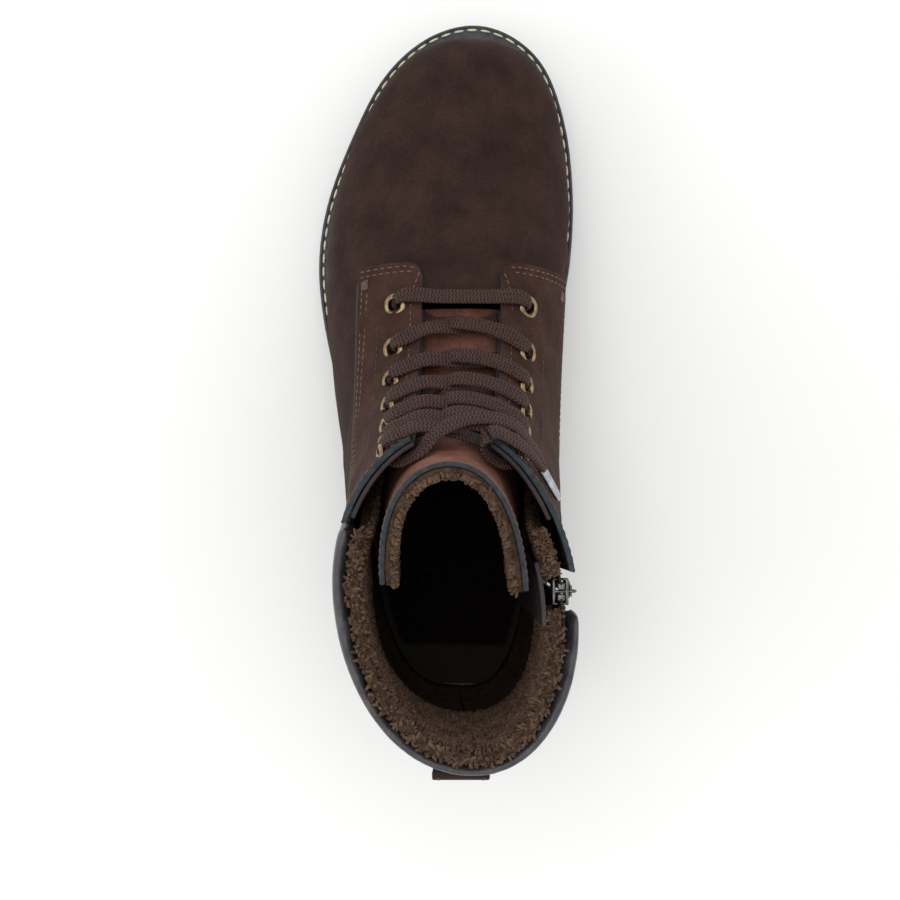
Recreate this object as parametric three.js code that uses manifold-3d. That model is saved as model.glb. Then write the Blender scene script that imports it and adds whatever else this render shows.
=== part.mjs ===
// An insulated lace-up winter boot for the left foot: lugged rubber sole, nubuck upper, plush lining,
// padded collar, laced front and a zip on the inner ankle. Millimetres, +Z up, toe towards -Y,
// inner (big toe) side towards -X, resting on Z = 0.
//
// Inside this file a point is (m, s, z): m grows towards the inner side of the foot, s runs from the
// back of the heel towards the toe and z is the height. The closing group turns that frame round.
import * as THREE from 'three';
import { mergeVertices } from 'three/addons/utils/BufferGeometryUtils.js';
import Module from 'manifold-3d';

const wasm = await Module();
wasm.setup();

// ---- driving dimensions (mm) ----
const clearance = 0.3;          // gap kept between pieces that touch
const ballHeight = 22;          // ground to the top of the welt under the ball of the foot
const heelRise = 12;            // how much higher the welt lies under the heel
const toeSpring = 6;            // how much the toe lifts
const lugDepth = 4;             // depth of the tread
const outsoleThickness = 8.6;     // rubber above the tread
const midsoleThickness = 5.4;
const weltThickness = 3.4;
const weltWidth = 9;            // from the sole's edge inwards
const heelBreast = 88;          // s of the front face of the heel block
const leather = 1.8;            // thickness of the upper leather
const liningDepth = 4.2;        // from the upper's outside to the lining's outside
const liningThickness = 4.3;    // foam and plush together
const toplineHeight = 165;      // top edge of the shaft
const collarDrop = 32;          // height of the padded collar
const collarSwell = 2.2;        // how far the padding stands out
const throatHalfWidth = 15;     // ridge line to the edge of a lace flap
const eyeletHalfSpacing = 25;   // ridge line to the middle of an eyelet, at the lowest row
const eyeletTaper = 3;          // how much nearer the ridge the top row lies
const eyeletRows = 7;
const eyeletBore = 5;           // diameter of the hole that the lace goes through
const eyeletFlange = 9.6;
const eyeletWall = 0.5;
const facingWidth = 19;         // reinforcement behind the eyelets
const laceDiameter = 2.2;
const tongueDepth = 5.6;        // from the flap's inner layer to the tongue, room for the lace
const tongueHeight = 184;       // top of the tongue at its middle
const tongueLeather = 1.8;
const tonguePadding = 3.6;
const zipTop = 158;             // height of the slider when the zip is closed
const zipBottom = 62;
const zipGap = 6.5;             // half the opening between the leather edges along the zip
const zipDepth = 3.4;           // how deep the teeth lie below the leather's outside
const tapeWidth = 14;           // half the width of both tapes together
const teethPitch = 3.6;
const sliderLength = 11;
const pullerLength = 24;
const loopWidth = 21;           // heel pull loop
const loopReach = 8;            // how far the loop stands off the back
const loopShift = 3.4;          // the loop sits a little to the outer side
const footbedThickness = 5;
const boardThickness = 2.2;
const shankThickness = 1.2;
const shankHalfWidth = 10;

const heelSeat = ballHeight + heelRise;

// Stations of the last, from the toe tip over the instep and up the shaft. Each is one closed section
// between a front (top) point and a rear (sole or heel) point.
// front s, front z, rear s, rear z, outer side m, inner side m, ridge m, spine m, front and rear squareness
const stations = [
  [294.5, 28, 294.5, 28, 8.5, 8.5, 8.5, 8.5, 2.1, 2.2],
  [292.5, 40, 286.5, 19, -8.7, 25.3, 8.4, 8, 2.1, 2.3],
  [286.5, 52, 272.5, 10, -20.8, 36.6, 8, 7.5, 2.2, 2.4],
  [275, 60, 255, 3, -31.8, 44.4, 7.6, 6, 2.3, 2.5],
  [256, 65, 236, -3, -42.3, 48.9, 6.8, 4, 2.3, 2.5],
  [230, 70, 214, -6, -50.2, 51, 5.8, 2, 2.3, 2.5],
  [203, 78, 193, -12, -53, 50.3, 4.8, 0, 2.25, 2.5],
  [176, 91, 160, -20, -52.6, 47, 4.5, -1, 2.15, 2.4],
  [158, 102, 122, -26, -49.3, 45, 4, 0, 2.1, 2.4],
  [146, 113, 88, -21, -45.6, 43.5, 3.3, 1, 2.05, 2.4],
  [137, 127, 58, -11, -43, 42.5, 2.6, 2, 2.05, 2.5],
  [130, 141, 30, 4, -41.2, 42, 2, 3, 2.05, 2.6],
  [125, 154, 9, 34, -40, 41.5, 1.4, 4, 2.05, 2.6],
  [121.5, 166, 4, 58, -39, 41.5, 0.8, 5, 2.1, 2.4],
  [119, 177, 4.5, 88, -38.5, 41.5, 0.4, 6, 2.1, 2.2],
  [117.5, 187, 8, 117, -38, 41.5, 0.2, 7, 2.1, 2.1],
  [117, 197, 7.5, 145, -37.5, 41.5, 0, 8, 2.1, 2.1],
  [116, 209, 5.5, 172, -37.5, 41.5, 0, 8, 2.1, 2.1],
];
// Edge of the sole seen from below: outer side from the heel to the toe, then the inner side back.
const soleOutline = [
  [5, 4], [-13, 7.5], [-27, 19], [-35.5, 40], [-40, 70], [-43.5, 105], [-50, 140], [-57, 175],
  [-58.8, 200], [-55, 225], [-45, 252], [-30.5, 279.5], [-12, 296.5],
  [9, 303], [28, 298], [43, 283.5], [52, 258], [55.3, 228], [54, 200], [49.5, 175],
  [44, 143], [42, 108], [42, 72], [40.5, 42], [34.5, 20], [22, 7],
];

// ---- the last ----
function smoothStep(x) {
  const f = Math.max(0, Math.min(1, x));
  return f * f * (3 - 2 * f);
}

function mix(a, b, f) {
  return a + (b - a) * f;
}

// Height of the line where the upper meets the welt, rising to the heel and curling up at the toe.
function featherZ(s) {
  const spring = Math.max(0, (s - 215) / 85);
  return ballHeight + heelRise * smoothStep((150 - s) / 90) + toeSpring * spring * spring;
}

function stationAt(t) {
  const last = stations.length - 1;
  const k = Math.max(0, Math.min(Math.floor(t), last - 1));
  const f = t - k;
  const row = (i) => stations[Math.max(0, Math.min(last, i))];
  const [a, b, c, d] = [row(k - 1), row(k), row(k + 1), row(k + 2)];
  return b.map((_, i) => {
    const start = (c[i] - a[i]) / 2;
    const end = (d[i] - b[i]) / 2;
    const bend = 2 * b[i] - 2 * c[i] + start + end;
    return ((bend * f + (c[i] - b[i] - start - bend)) * f + start) * f + b[i];
  });
}

// A point of the upper's outside: t walks the stations, turn walks round a section (0 at the ridge,
// negative on the outer side, pi at the spine).
function skin(t, turn) {
  const [frontS, frontZ, rearS, rearZ, left, right, ridge, spine, frontSquare, rearSquare] = stationAt(t);
  const ahead = Math.cos(turn);
  const aside = Math.sin(turn);
  const power = mix(frontSquare, rearSquare, (1 - ahead) / 2);
  const reach = Math.pow(Math.pow(Math.abs(ahead), power) + Math.pow(Math.abs(aside), power), -1 / power);
  const middle = (ridge + spine) / 2;
  const half = aside < 0 ? middle - left : right - middle;
  return new THREE.Vector3(
    middle + (ridge - spine) / 2 * reach * ahead + half * reach * aside,
    (frontS + rearS) / 2 + (frontS - rearS) / 2 * reach * ahead,
    (frontZ + rearZ) / 2 + (frontZ - rearZ) / 2 * reach * ahead);
}

function skinNormal(t, turn) {
  if (t < 0.01) return new THREE.Vector3(0, 1, 0);
  const step = 0.01;
  const along = skin(t + step, turn).sub(skin(t - step, turn));
  const round = skin(t, turn + step).sub(skin(t, turn - step));
  const normal = round.cross(along).normalize();
  const [frontS, frontZ, rearS, rearZ, left, right] = stationAt(t);
  const core = new THREE.Vector3((left + right) / 2, (frontS + rearS) / 2, (frontZ + rearZ) / 2);
  return normal.dot(skin(t, turn).sub(core)) < 0 ? normal.negate() : normal;
}

function offSkin(t, turn, offset) {
  return skin(t, turn).addScaledVector(skinNormal(t, turn), offset);
}

// Where f changes from positive to negative between two values.
function crossing(f, low, high) {
  let [a, b] = [low, high];
  if (f(b) > 0) return b;
  for (let i = 0; i < 26; i += 1) {
    const middle = (a + b) / 2;
    if (f(middle) > 0) a = middle;
    else b = middle;
  }
  return (a + b) / 2;
}

// The turn at which a section comes down to a height above the welt, on one side (-1 outer, 1 inner).
function turnAboveFeather(t, side, above) {
  return side * crossing((b) => {
    const p = skin(t, side * b);
    return p.z - featherZ(p.y) - above;
  }, 0.45 * Math.PI, Math.PI);
}

function turnAtHeight(t, side, height) {
  return side * crossing((b) => skin(t, side * b).z - height, 0.05, Math.PI);
}

function turnBeside(t, side, distance) {
  const ridge = stationAt(t)[6];
  return side * crossing((b) => distance - side * (skin(t, side * b).x - ridge), 0, Math.PI / 2);
}

// The station at which a column of a panel reaches a height.
function stationAtHeight(turnOf, height) {
  return crossing((t) => height - skin(t, turnOf(t)).z, 6, stations.length - 1);
}

// ---- solids ----
// A panel between two offsets of the skin, over a grid; at(u, v) gives [t, turn]. keep drops cells.
function panel(rows, columns, at, inner, outer, keep = () => true) {
  const positions = [];
  const index = [];
  const offsetOf = (value, u, v) => (typeof value === 'function' ? value(u, v) : value);
  for (const layer of [outer, inner]) {
    for (let i = 0; i <= rows; i += 1) {
      for (let j = 0; j <= columns; j += 1) {
        const [u, v] = [i / rows, j / columns];
        const [t, turn] = at(u, v, i, j);
        positions.push(...offSkin(t, turn, offsetOf(layer, u, v)).toArray());
      }
    }
  }
  const layerSize = (rows + 1) * (columns + 1);
  const id = (layer, i, j) => layer * layerSize + i * (columns + 1) + j;
  const quad = (a, b, c, d) => index.push(a, b, c, a, c, d);
  const kept = (i, j) => i >= 0 && j >= 0 && i < rows && j < columns && keep(i, j);
  for (let i = 0; i < rows; i += 1) {
    for (let j = 0; j < columns; j += 1) {
      if (!kept(i, j)) continue;
      quad(id(0, i, j), id(0, i + 1, j), id(0, i + 1, j + 1), id(0, i, j + 1));
      quad(id(1, i, j), id(1, i, j + 1), id(1, i + 1, j + 1), id(1, i + 1, j));
      if (!kept(i - 1, j)) quad(id(0, i, j), id(0, i, j + 1), id(1, i, j + 1), id(1, i, j));
      if (!kept(i + 1, j)) quad(id(0, i + 1, j + 1), id(0, i + 1, j), id(1, i + 1, j), id(1, i + 1, j + 1));
      if (!kept(i, j - 1)) quad(id(0, i + 1, j), id(0, i, j), id(1, i, j), id(1, i + 1, j));
      if (!kept(i, j + 1)) quad(id(0, i, j + 1), id(0, i + 1, j + 1), id(1, i + 1, j + 1), id(1, i, j + 1));
    }
  }
  return closedGeometry(positions, index);
}

// Merges shared corners, drops faces without area and turns the faces outwards.
function closedGeometry(positions, index) {
  let geometry = new THREE.BufferGeometry();
  geometry.setAttribute('position', new THREE.Float32BufferAttribute(positions, 3));
  geometry.setIndex(index);
  geometry = mergeVertices(geometry, 1e-4);
  const corners = geometry.index.array;
  const faces = [];
  for (let i = 0; i < corners.length; i += 3) {
    const [a, b, c] = corners.slice(i, i + 3);
    if (a !== b && b !== c && a !== c) faces.push(a, b, c);
  }
  geometry.setIndex(faces);
  if (volumeOf(geometry) < 0) geometry.setIndex(faces.reverse());
  return geometry;
}

function volumeOf(geometry) {
  const position = geometry.attributes.position;
  const corner = (i) => new THREE.Vector3().fromBufferAttribute(position, geometry.index.array[i]);
  let volume = 0;
  for (let i = 0; i < geometry.index.count; i += 3) {
    volume += corner(i).dot(corner(i + 1).cross(corner(i + 2)));
  }
  return volume / 6;
}

function toManifold(source) {
  const bare = source.clone();
  bare.deleteAttribute('normal');
  bare.deleteAttribute('uv');
  const merged = mergeVertices(bare, 1e-4);
  const solid = new wasm.Manifold(new wasm.Mesh({
    numProp: 3,
    vertProperties: new Float32Array(merged.attributes.position.array),
    triVerts: new Uint32Array(merged.index.array),
  }));
  return solid;
}

function fromManifold(solid) {
  const mesh = solid.getMesh();
  const geometry = new THREE.BufferGeometry();
  geometry.setAttribute('position', new THREE.BufferAttribute(new Float32Array(mesh.vertProperties), 3));
  geometry.setIndex(new THREE.BufferAttribute(new Uint32Array(mesh.triVerts), 1));
  return geometry;
}

function cut(base, cutters) {
  let solid = toManifold(base);
  for (const cutter of cutters) solid = solid.subtract(toManifold(cutter));
  return fromManifold(solid);
}

function join(base, others) {
  let solid = toManifold(base);
  for (const other of others) solid = solid.add(toManifold(other));
  return fromManifold(solid);
}

// ---- sole ----
const soleCurve = new THREE.CatmullRomCurve3(
  soleOutline.map(([m, s]) => new THREE.Vector3(m, s, 0)), true, 'catmullrom', 0.5);

function soleEdge(u, inset) {
  const p = soleCurve.getPoint(u % 1);
  const direction = soleCurve.getTangent(u % 1);
  return p.add(new THREE.Vector3(direction.y, -direction.x, 0).multiplyScalar(inset));
}

// A plate that follows the sole's outline between two height functions of s.
function solePlate(inset, bottomZ, topZ, range = [0, 1], count = 26) {
  const positions = [];
  const index = [];
  const loop = 2 * count;
  const edge = (i) => soleEdge(i / loop, inset);
  for (const height of [bottomZ, topZ]) {
    for (let i = 0; i < loop; i += 1) {
      const p = edge(i);
      positions.push(p.x, p.y, height(p.y));
    }
  }
  for (let i = 0; i < loop; i += 1) {
    const next = (i + 1) % loop;
    index.push(i, next, loop + next, i, loop + next, loop + i);
  }
  for (let i = 0; i < count; i += 1) {
    const [a, b, c, d] = [i, i + 1, (loop - i - 1) % loop, (loop - i) % loop];
    index.push(a, c, b, loop + a, loop + b, loop + c);
    index.push(a, d, c, loop + a, loop + c, loop + d);
  }
  const whole = closedGeometry(positions, index);
  const [from, to] = range;
  if (from === 0 && to === 1) return whole;
  const block = new THREE.BoxGeometry(200, (to - from) * 320, 200);
  block.translate(0, (from + to) * 160, 0);
  return fromManifold(toManifold(whole).intersect(toManifold(block)));
}

const weltBottom = (s) => featherZ(s) - weltThickness;
const midsoleBottom = (s) => weltBottom(s) - clearance - midsoleThickness;
const outsoleTop = (s) => midsoleBottom(s) - clearance;
const outsoleBottom = (s) => outsoleTop(s) - outsoleThickness;

function buildOutsole() {
  const plate = solePlate(0, outsoleBottom, outsoleTop);
  const lugs = [];
  const pitch = 17;
  for (let s = 108; s < 290; s += pitch) {
    for (const side of [-1, 1]) {
      const length = Math.abs(sideOfSole(s, side)) - 9;
      const lug = new THREE.BoxGeometry(length, pitch * 0.58, lugDepth + 2);
      lug.translate(side * (length / 2 + 5), s + (side < 0 ? 0 : pitch * 0.3), 0);
      lug.translate(0, 0, outsoleBottom(s + pitch * 0.5) - lugDepth / 2 + 1 - (s < 130 ? 1 : 0));
      lugs.push(lug);
    }
  }
  const joined = join(plate, lugs);
  const ground = new THREE.BoxGeometry(300, 400, 40);
  ground.translate(0, 150, -20);
  return cut(joined, [ground]);
}

// Half-breadth of the sole at a place along its length, signed.
function sideOfSole(s, side) {
  const [low, high] = side < 0 ? [0, 0.5] : [1, 0.5];
  const u = crossing((f) => s - soleCurve.getPoint(mix(low, high, f)).y, 0.02, 0.98);
  return soleCurve.getPoint(mix(low, high, u)).x;
}

function buildHeelBlock() {
  const block = solePlate(1, () => 0, (s) => outsoleBottom(s) - clearance, [0, heelBreast / 320]);
  const grooves = [24, 42, 60].map((s) => {
    const groove = new THREE.BoxGeometry(130, 5, 2 * lugDepth);
    groove.translate(0, s, 0);
    return groove;
  });
  return cut(block, grooves);
}

function buildWelt() {
  const ring = solePlate(0.8, weltBottom, (s) => featherZ(s) - clearance);
  const hole = solePlate(weltWidth, (s) => weltBottom(s) - 5, (s) => featherZ(s) + 5);
  return cut(ring, [hole]);
}

const shankTop = (s) => featherZ(s) - clearance;
const fillerTop = (s) => shankTop(s) - shankThickness - clearance;

function buildFiller() {
  return solePlate(weltWidth + 0.5, weltBottom, fillerTop);
}

// A strip across the foot from rungs between the two ends of each section.
function ladder(rungs, fromT, toT, offset, bottomZ, topZ, halfWidth = 100) {
  const positions = [];
  const index = [];
  for (let i = 0; i <= rungs; i += 1) {
    const t = mix(fromT, toT, i / rungs);
    for (const side of [-1, 1]) {
      const p = offSkin(t, turnAboveFeather(t, side, 0), -offset);
      const m = Math.max(-halfWidth, Math.min(halfWidth, p.x));
      positions.push(m, p.y, bottomZ(p.y), m, p.y, topZ(p.y));
    }
  }
  const quad = (a, b, c, d) => index.push(a, b, c, a, c, d);
  for (let i = 0; i < rungs; i += 1) {
    const [a, b] = [4 * i, 4 * i + 4];
    quad(a, b, b + 2, a + 2);
    quad(a + 1, a + 3, b + 3, b + 1);
    quad(a, a + 1, b + 1, b);
    quad(a + 2, b + 2, b + 3, a + 3);
  }
  const end = 4 * rungs;
  quad(0, 2, 3, 1);
  quad(end, end + 1, end + 3, end + 2);
  return closedGeometry(positions, index);
}

function buildShank() {
  return ladder(12, 7.4, 10.6, 12, (s) => shankTop(s) - shankThickness, shankTop, shankHalfWidth);
}

function buildInsoleBoard() {
  return ladder(30, 0.6, 11.9, leather + 3 * clearance, featherZ, (s) => featherZ(s) + boardThickness);
}

function buildFootbed() {
  const bottom = (s) => featherZ(s) + boardThickness + clearance;
  const inset = liningDepth + liningThickness + 2;
  return ladder(26, 1.7, 11.55, inset, bottom, (s) => bottom(s) + footbedThickness);
}

// ---- panels of the upper ----
const frontStation = 6.45;      // front edge of the lace flaps
const throatBase = 6.95;        // the vamp's rear edge, under the flaps
const outerSeamBeside = 40.5;   // ridge line to the raw edge on the outer side
const innerSeamHeight = 57;     // height of the flap's lower edge on the inner side

const throatTurn = (t, side) => turnBeside(t, side, throatHalfWidth - 0.25 * Math.max(0, t - 7));
const outerSeamTurn = (t) => turnBeside(t, -1, outerSeamBeside - 0.75 * Math.max(0, t - 7));

// Along the zip: s of its middle line at a height.
function zipS(z) {
  return mix(62, 68, (z - zipBottom) / (zipTop - zipBottom));
}

function zipTurn(t, ahead) {
  return crossing((b) => {
    const p = skin(t, b);
    return p.y - zipS(p.z) - ahead;
  }, 0.2, Math.PI);
}

const innerEdgeTurn = (t) => Math.min(turnAtHeight(t, 1, innerSeamHeight), zipTurn(t, zipGap));
const collarBottom = toplineHeight - collarDrop;

// A panel whose columns run from a front station up to a height, between two turning edges.
function flapAt(startT, edgeA, edgeB, height) {
  return (u, v) => {
    const turnOf = (t) => mix(edgeA(t), edgeB(t), v);
    const t = mix(startT, stationAtHeight(turnOf, height), u);
    return [t, turnOf(t)];
  };
}

// A panel given by height and turn, for the upright rear of the boot.
function uprightAt(turnOf, bottomZ, topZ) {
  return (u, v) => {
    const z = mix(bottomZ, topZ, u);
    const turn = turnOf(z, v);
    const t = crossing((f) => z - skin(f, turn).z, 6, stations.length - 1);
    return [t, turn];
  };
}

// The turn at which the slice at a height reaches a given s, on one side.
function turnAtPlace(z, s, side) {
  return side * crossing((b) => {
    const t = crossing((f) => z - skin(f, side * b).z, 6, stations.length - 1);
    return skin(t, side * b).y - s;
  }, 0.6, Math.PI);
}

function stationAtPlace(turnOf, s) {
  return crossing((t) => skin(t, turnOf(t)).y - s, 6, stations.length - 1);
}

const wingTop = (t) => outerSeamTurn(Math.max(t, 5)) + 0.1;
const innerWingTop = (t) => turnAtHeight(Math.max(t, 5), 1, innerSeamHeight + 5);
const outerSideSeam = 62;       // s where the outer side ends and the rear quarter begins
const innerSideSeam = 70;

// The vamp with its two long wings, which run back along the sides below the lace flaps.
function buildVamp() {
  const [rows, columns, bodyRows] = [19, 26, 11];
  const [innerColumn, outerColumn] = [5, 18];
  const turnIn = (j) => (t) => {
    if (j <= innerColumn) return mix(turnAboveFeather(t, 1, 0), innerWingTop(t), j / innerColumn);
    if (j <= outerColumn) {
      return mix(innerWingTop(t), wingTop(t), (j - innerColumn) / (outerColumn - innerColumn));
    }
    return mix(wingTop(t), turnAboveFeather(t, -1, 0), (j - outerColumn) / (columns - outerColumn));
  };
  const at = (u, v, i, j) => {
    const turnOf = turnIn(j);
    let t = throatBase * Math.pow(i / bodyRows, 0.9);
    if (i > bodyRows) {
      const seam = j <= innerColumn ? innerSideSeam : outerSideSeam;
      const end = Math.min(stationAtHeight(turnOf, collarBottom - clearance), stationAtPlace(turnOf, seam));
      t = mix(throatBase, end, (i - bodyRows) / (rows - bodyRows));
    }
    return [t, turnOf(t)];
  };
  const keep = (i, j) => i < bodyRows || j < innerColumn || j >= outerColumn;
  return panel(rows, columns, at, -leather, 0, keep);
}

// The rear quarters meet at the back seam, under the backstay.
const backGap = 0.008;

function buildOuterRearQuarter() {
  const turnOf = (z, v) => mix(turnAtPlace(z, outerSideSeam - clearance, -1), backGap - Math.PI, v);
  const at = uprightAt(turnOf, heelSeat, collarBottom - clearance);
  return panel(9, 10, at, -leather, 0);
}

function buildInnerRearQuarter() {
  const frontEdge = (z) => mix(innerSideSeam - clearance, zipS(z) - zipGap, smoothStep((z - 46) / 10));
  const turnOf = (z, v) => mix(turnAtPlace(z, frontEdge(z), 1), Math.PI - backGap, v);
  const at = uprightAt(turnOf, heelSeat, collarBottom - clearance);
  return panel(11, 10, at, -leather, 0);
}

function eyeletPlace(row, side) {
  const t = 7.12 + 0.98 * row;
  const spacing = eyeletHalfSpacing - eyeletTaper * row / (eyeletRows - 1);
  return { t, turn: turnBeside(t, side, spacing), spacing };
}

// A turned piece laid on the skin at an eyelet, its axis along the skin's normal.
function setOnSkin(geometry, place, offset) {
  const normal = skinNormal(place.t, place.turn);
  const turnUp = new THREE.Quaternion().setFromUnitVectors(new THREE.Vector3(0, 1, 0), normal);
  const centre = offSkin(place.t, place.turn, offset);
  return geometry.applyQuaternion(turnUp).translate(centre.x, centre.y, centre.z);
}

function eyeletHoles(side) {
  const holes = [];
  for (let row = 0; row < eyeletRows; row += 1) {
    const radius = eyeletBore / 2 + eyeletWall + clearance;
    const drill = new THREE.CylinderGeometry(radius, radius, 12, 8);
    holes.push(setOnSkin(drill, eyeletPlace(row, side), 0));
  }
  return holes;
}

const flapLift = 0.5;           // the lace flaps lie on the vamp

function buildOuterFlap() {
  const at = flapAt(frontStation, (t) => throatTurn(t, -1), outerSeamTurn, toplineHeight);
  return cut(panel(13, 6, at, flapLift, flapLift + leather), eyeletHoles(-1));
}

function buildInnerFlap() {
  const at = flapAt(frontStation, (t) => throatTurn(t, 1), innerEdgeTurn, toplineHeight);
  return cut(panel(14, 8, at, flapLift, flapLift + leather), eyeletHoles(1));
}

// The smooth leather strip behind the eyelets.
function buildFacing(side) {
  const rear = (t) => turnBeside(t, side, throatHalfWidth + facingWidth);
  const at = flapAt(throatBase + 0.3, (t) => throatTurn(t, side), rear, toplineHeight - 1);
  return cut(panel(11, 3, at, -leather, 0), eyeletHoles(side));
}

function buildEyelet(row, side) {
  const bore = eyeletBore / 2;
  const flangeBottom = flapLift + leather + clearance;
  const profile = [
    [bore, -leather - 2 * clearance], [bore + eyeletWall, -leather - 2 * clearance],
    [bore + eyeletWall, flangeBottom], [eyeletFlange / 2, flangeBottom],
    [eyeletFlange / 2 - 0.5, flangeBottom + 0.6], [bore, flangeBottom + 0.7],
    [bore, -leather - 2 * clearance],
  ].map(([x, y]) => new THREE.Vector2(x, y));
  return setOnSkin(new THREE.LatheGeometry(profile, 8), eyeletPlace(row, side), 0);
}

// ---- lining ----
const liningFoot = boardThickness + clearance;

function buildVampLining() {
  const at = (u, v) => {
    const t = mix(1.7, throatBase - 0.05, u);
    return [t, mix(turnAboveFeather(t, 1, liningFoot), turnAboveFeather(t, -1, liningFoot), v)];
  };
  return panel(7, 14, at, -liningDepth - liningThickness, -liningDepth);
}

const liningFront = (t, side) => turnBeside(t, side, throatHalfWidth + facingWidth + 1);

function buildOuterFrontLining() {
  const sideTurn = (t) => -crossing((b) => skin(t, -b).y - outerSideSeam, 0.2, Math.PI);
  const rear = (t) => Math.max(turnAboveFeather(t, -1, liningFoot), sideTurn(t));
  const at = flapAt(throatBase, (t) => liningFront(t, -1), rear, toplineHeight - 1);
  return panel(11, 6, at, -liningDepth - liningThickness, -liningDepth);
}

function buildOuterRearLining() {
  const turnOf = (z, v) => mix(turnAtPlace(z, outerSideSeam - 1, -1), backGap - Math.PI, v);
  const at = uprightAt(turnOf, heelSeat + liningFoot, toplineHeight - 1);
  return panel(9, 8, at, -liningDepth - liningThickness, -liningDepth);
}

function buildInnerFrontLining() {
  const rear = (t) => Math.min(turnAboveFeather(t, 1, liningFoot), zipTurn(t, zipGap));
  const at = flapAt(throatBase, (t) => liningFront(t, 1), rear, toplineHeight - 1);
  return panel(11, 6, at, -liningDepth - liningThickness, -liningDepth);
}

function buildInnerRearLining() {
  const turnOf = (z, v) => mix(turnAtPlace(z, zipS(z) - zipGap, 1), Math.PI - backGap, v);
  const at = uprightAt(turnOf, heelSeat + liningFoot, toplineHeight - 1);
  return panel(9, 8, at, -liningDepth - liningThickness, -liningDepth);
}

// ---- stiffeners ----
const stiffenerGap = leather + 0.7;

function buildToePuff() {
  const at = (u, v) => {
    const t = mix(0.6, 3.1, u);
    return [t, mix(turnAboveFeather(t, 1, liningFoot), turnAboveFeather(t, -1, liningFoot), v)];
  };
  return panel(6, 16, at, 0.6 - liningDepth, -stiffenerGap);
}

function buildHeelCounter() {
  const [innerReach, outerReach] = [0.34 * Math.PI, 0.42 * Math.PI];
  const at = uprightAt((z, v) => Math.PI + mix(-innerReach, outerReach, v), heelSeat + liningFoot, 82);
  return panel(6, 16, at, 0.6 - liningDepth, -stiffenerGap);
}

function buildBackstay() {
  const reach = (z) => mix(0.3, 0.2, smoothStep((z - 60) / 60));
  const turnOf = (z, v) => Math.PI + mix(-reach(z), reach(z), v);
  const at = uprightAt(turnOf, heelSeat + 2, collarBottom - 2);
  return panel(9, 6, at, 2 * clearance, 2 * clearance + leather);
}

// The padded collar runs from the zip round the back to the outer lace flap.
function buildCollar() {
  const turnOf = (z, v) => {
    const t = crossing((f) => z - skin(f, -1.1).z, 6, stations.length - 1);
    const outerEnd = 2 * Math.PI + outerSeamTurn(t) - 0.02;
    return mix(turnAtPlace(z, zipS(z) - zipGap, 1), outerEnd, v);
  };
  const at = uprightAt(turnOf, collarBottom, toplineHeight);
  const swell = (u) => collarSwell * Math.sqrt(Math.max(0, Math.sin(Math.PI * u)));
  const backing = (u, v) => mix(-leather - 2 * clearance, 2 * clearance - liningDepth, smoothStep((v - 0.1) * 5));
  return panel(5, 22, at, backing, swell);
}

// A strap that bows out behind the heel, for pulling the boot on.
function buildPullLoop() {
  const strap = 1.8;
  const back = skin(15.2, Math.PI);
  const outline = new THREE.Shape();
  const [top, bottom] = [collarBottom + 17, collarBottom - 24];
  const foot = back.y - collarSwell - 1.5;
  outline.moveTo(foot, top);
  outline.bezierCurveTo(foot - loopReach, top, foot - loopReach, bottom, foot, bottom);
  outline.lineTo(foot, bottom + strap);
  const inner = loopReach - strap * 1.2;
  outline.bezierCurveTo(foot - inner, bottom + strap, foot - inner, top - strap, foot, top - strap);
  outline.closePath();
  const geometry = new THREE.ExtrudeGeometry(outline, { depth: loopWidth, bevelEnabled: false, curveSegments: 10 });
  const swap = new THREE.Matrix4().makeBasis(
    new THREE.Vector3(0, 1, 0), new THREE.Vector3(0, 0, 1), new THREE.Vector3(1, 0, 0));
  return geometry.applyMatrix4(swap).translate(back.x - loopShift - loopWidth / 2, 0, 0);
}

// ---- tongue ----
const tongueBase = throatBase + 0.12;
const tongueTurn = (t) => mix(turnBeside(t, 1, throatHalfWidth + 8), 1.42, smoothStep((t - 8.5) / 5));

function tonguePanel(from, to) {
  const at = (u, v) => {
    const side = 2 * v - 1;
    const turnOf = (t) => side * tongueTurn(t);
    const height = mix(tongueHeight, tongueHeight - 17, side * side);
    const t = mix(tongueBase, stationAtHeight(turnOf, height), u);
    return [t, turnOf(t)];
  };
  const depth = (u, v) => {
    const [t, turn] = at(u, v);
    return tongueDepth + 9 * Math.sin(turn) * Math.sin(turn) * smoothStep((t - 8) / 3);
  };
  return panel(10, 10, at, (u, v) => -depth(u, v) - to, (u, v) => -depth(u, v) - from);
}

// ---- lace ----
function laceAt(t, beside, offset) {
  return offSkin(t, turnBeside(t, Math.sign(beside) || 1, Math.abs(beside)), offset);
}

const flapTop = flapLift + leather;
const laceOver = flapTop + laceDiameter / 2 + 0.5;
const laceUnder = -leather - laceDiameter / 2 - 0.7;
const laceEntry = flapTop + laceDiameter / 2 + 1.6;

// From the bore of an eyelet, under its flap, over the tongue and down into the next eyelet opposite.
function crossingPoints(row, side) {
  const from = eyeletPlace(row, side);
  const to = eyeletPlace(row + 1, -side);
  const edge = throatHalfWidth - 0.25 * Math.max(0, from.t - 7);
  return [
    ...belowEyelet(row, side),
    laceAt(from.t + 0.16, side * (edge + 3), laceUnder),
    laceAt(from.t + 0.33, side * (edge - 4), laceUnder + 0.5),
    laceAt(from.t + 0.5, side * 1, side > 0 ? -1.2 : 2),
    laceAt(from.t + 0.66, -side * (edge - 4), laceOver - 0.6),
    laceAt(from.t + 0.8, -side * (edge + 2), laceOver + 0.2),
    ...aboveEyelet(row + 1, -side),
  ];
}

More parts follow.
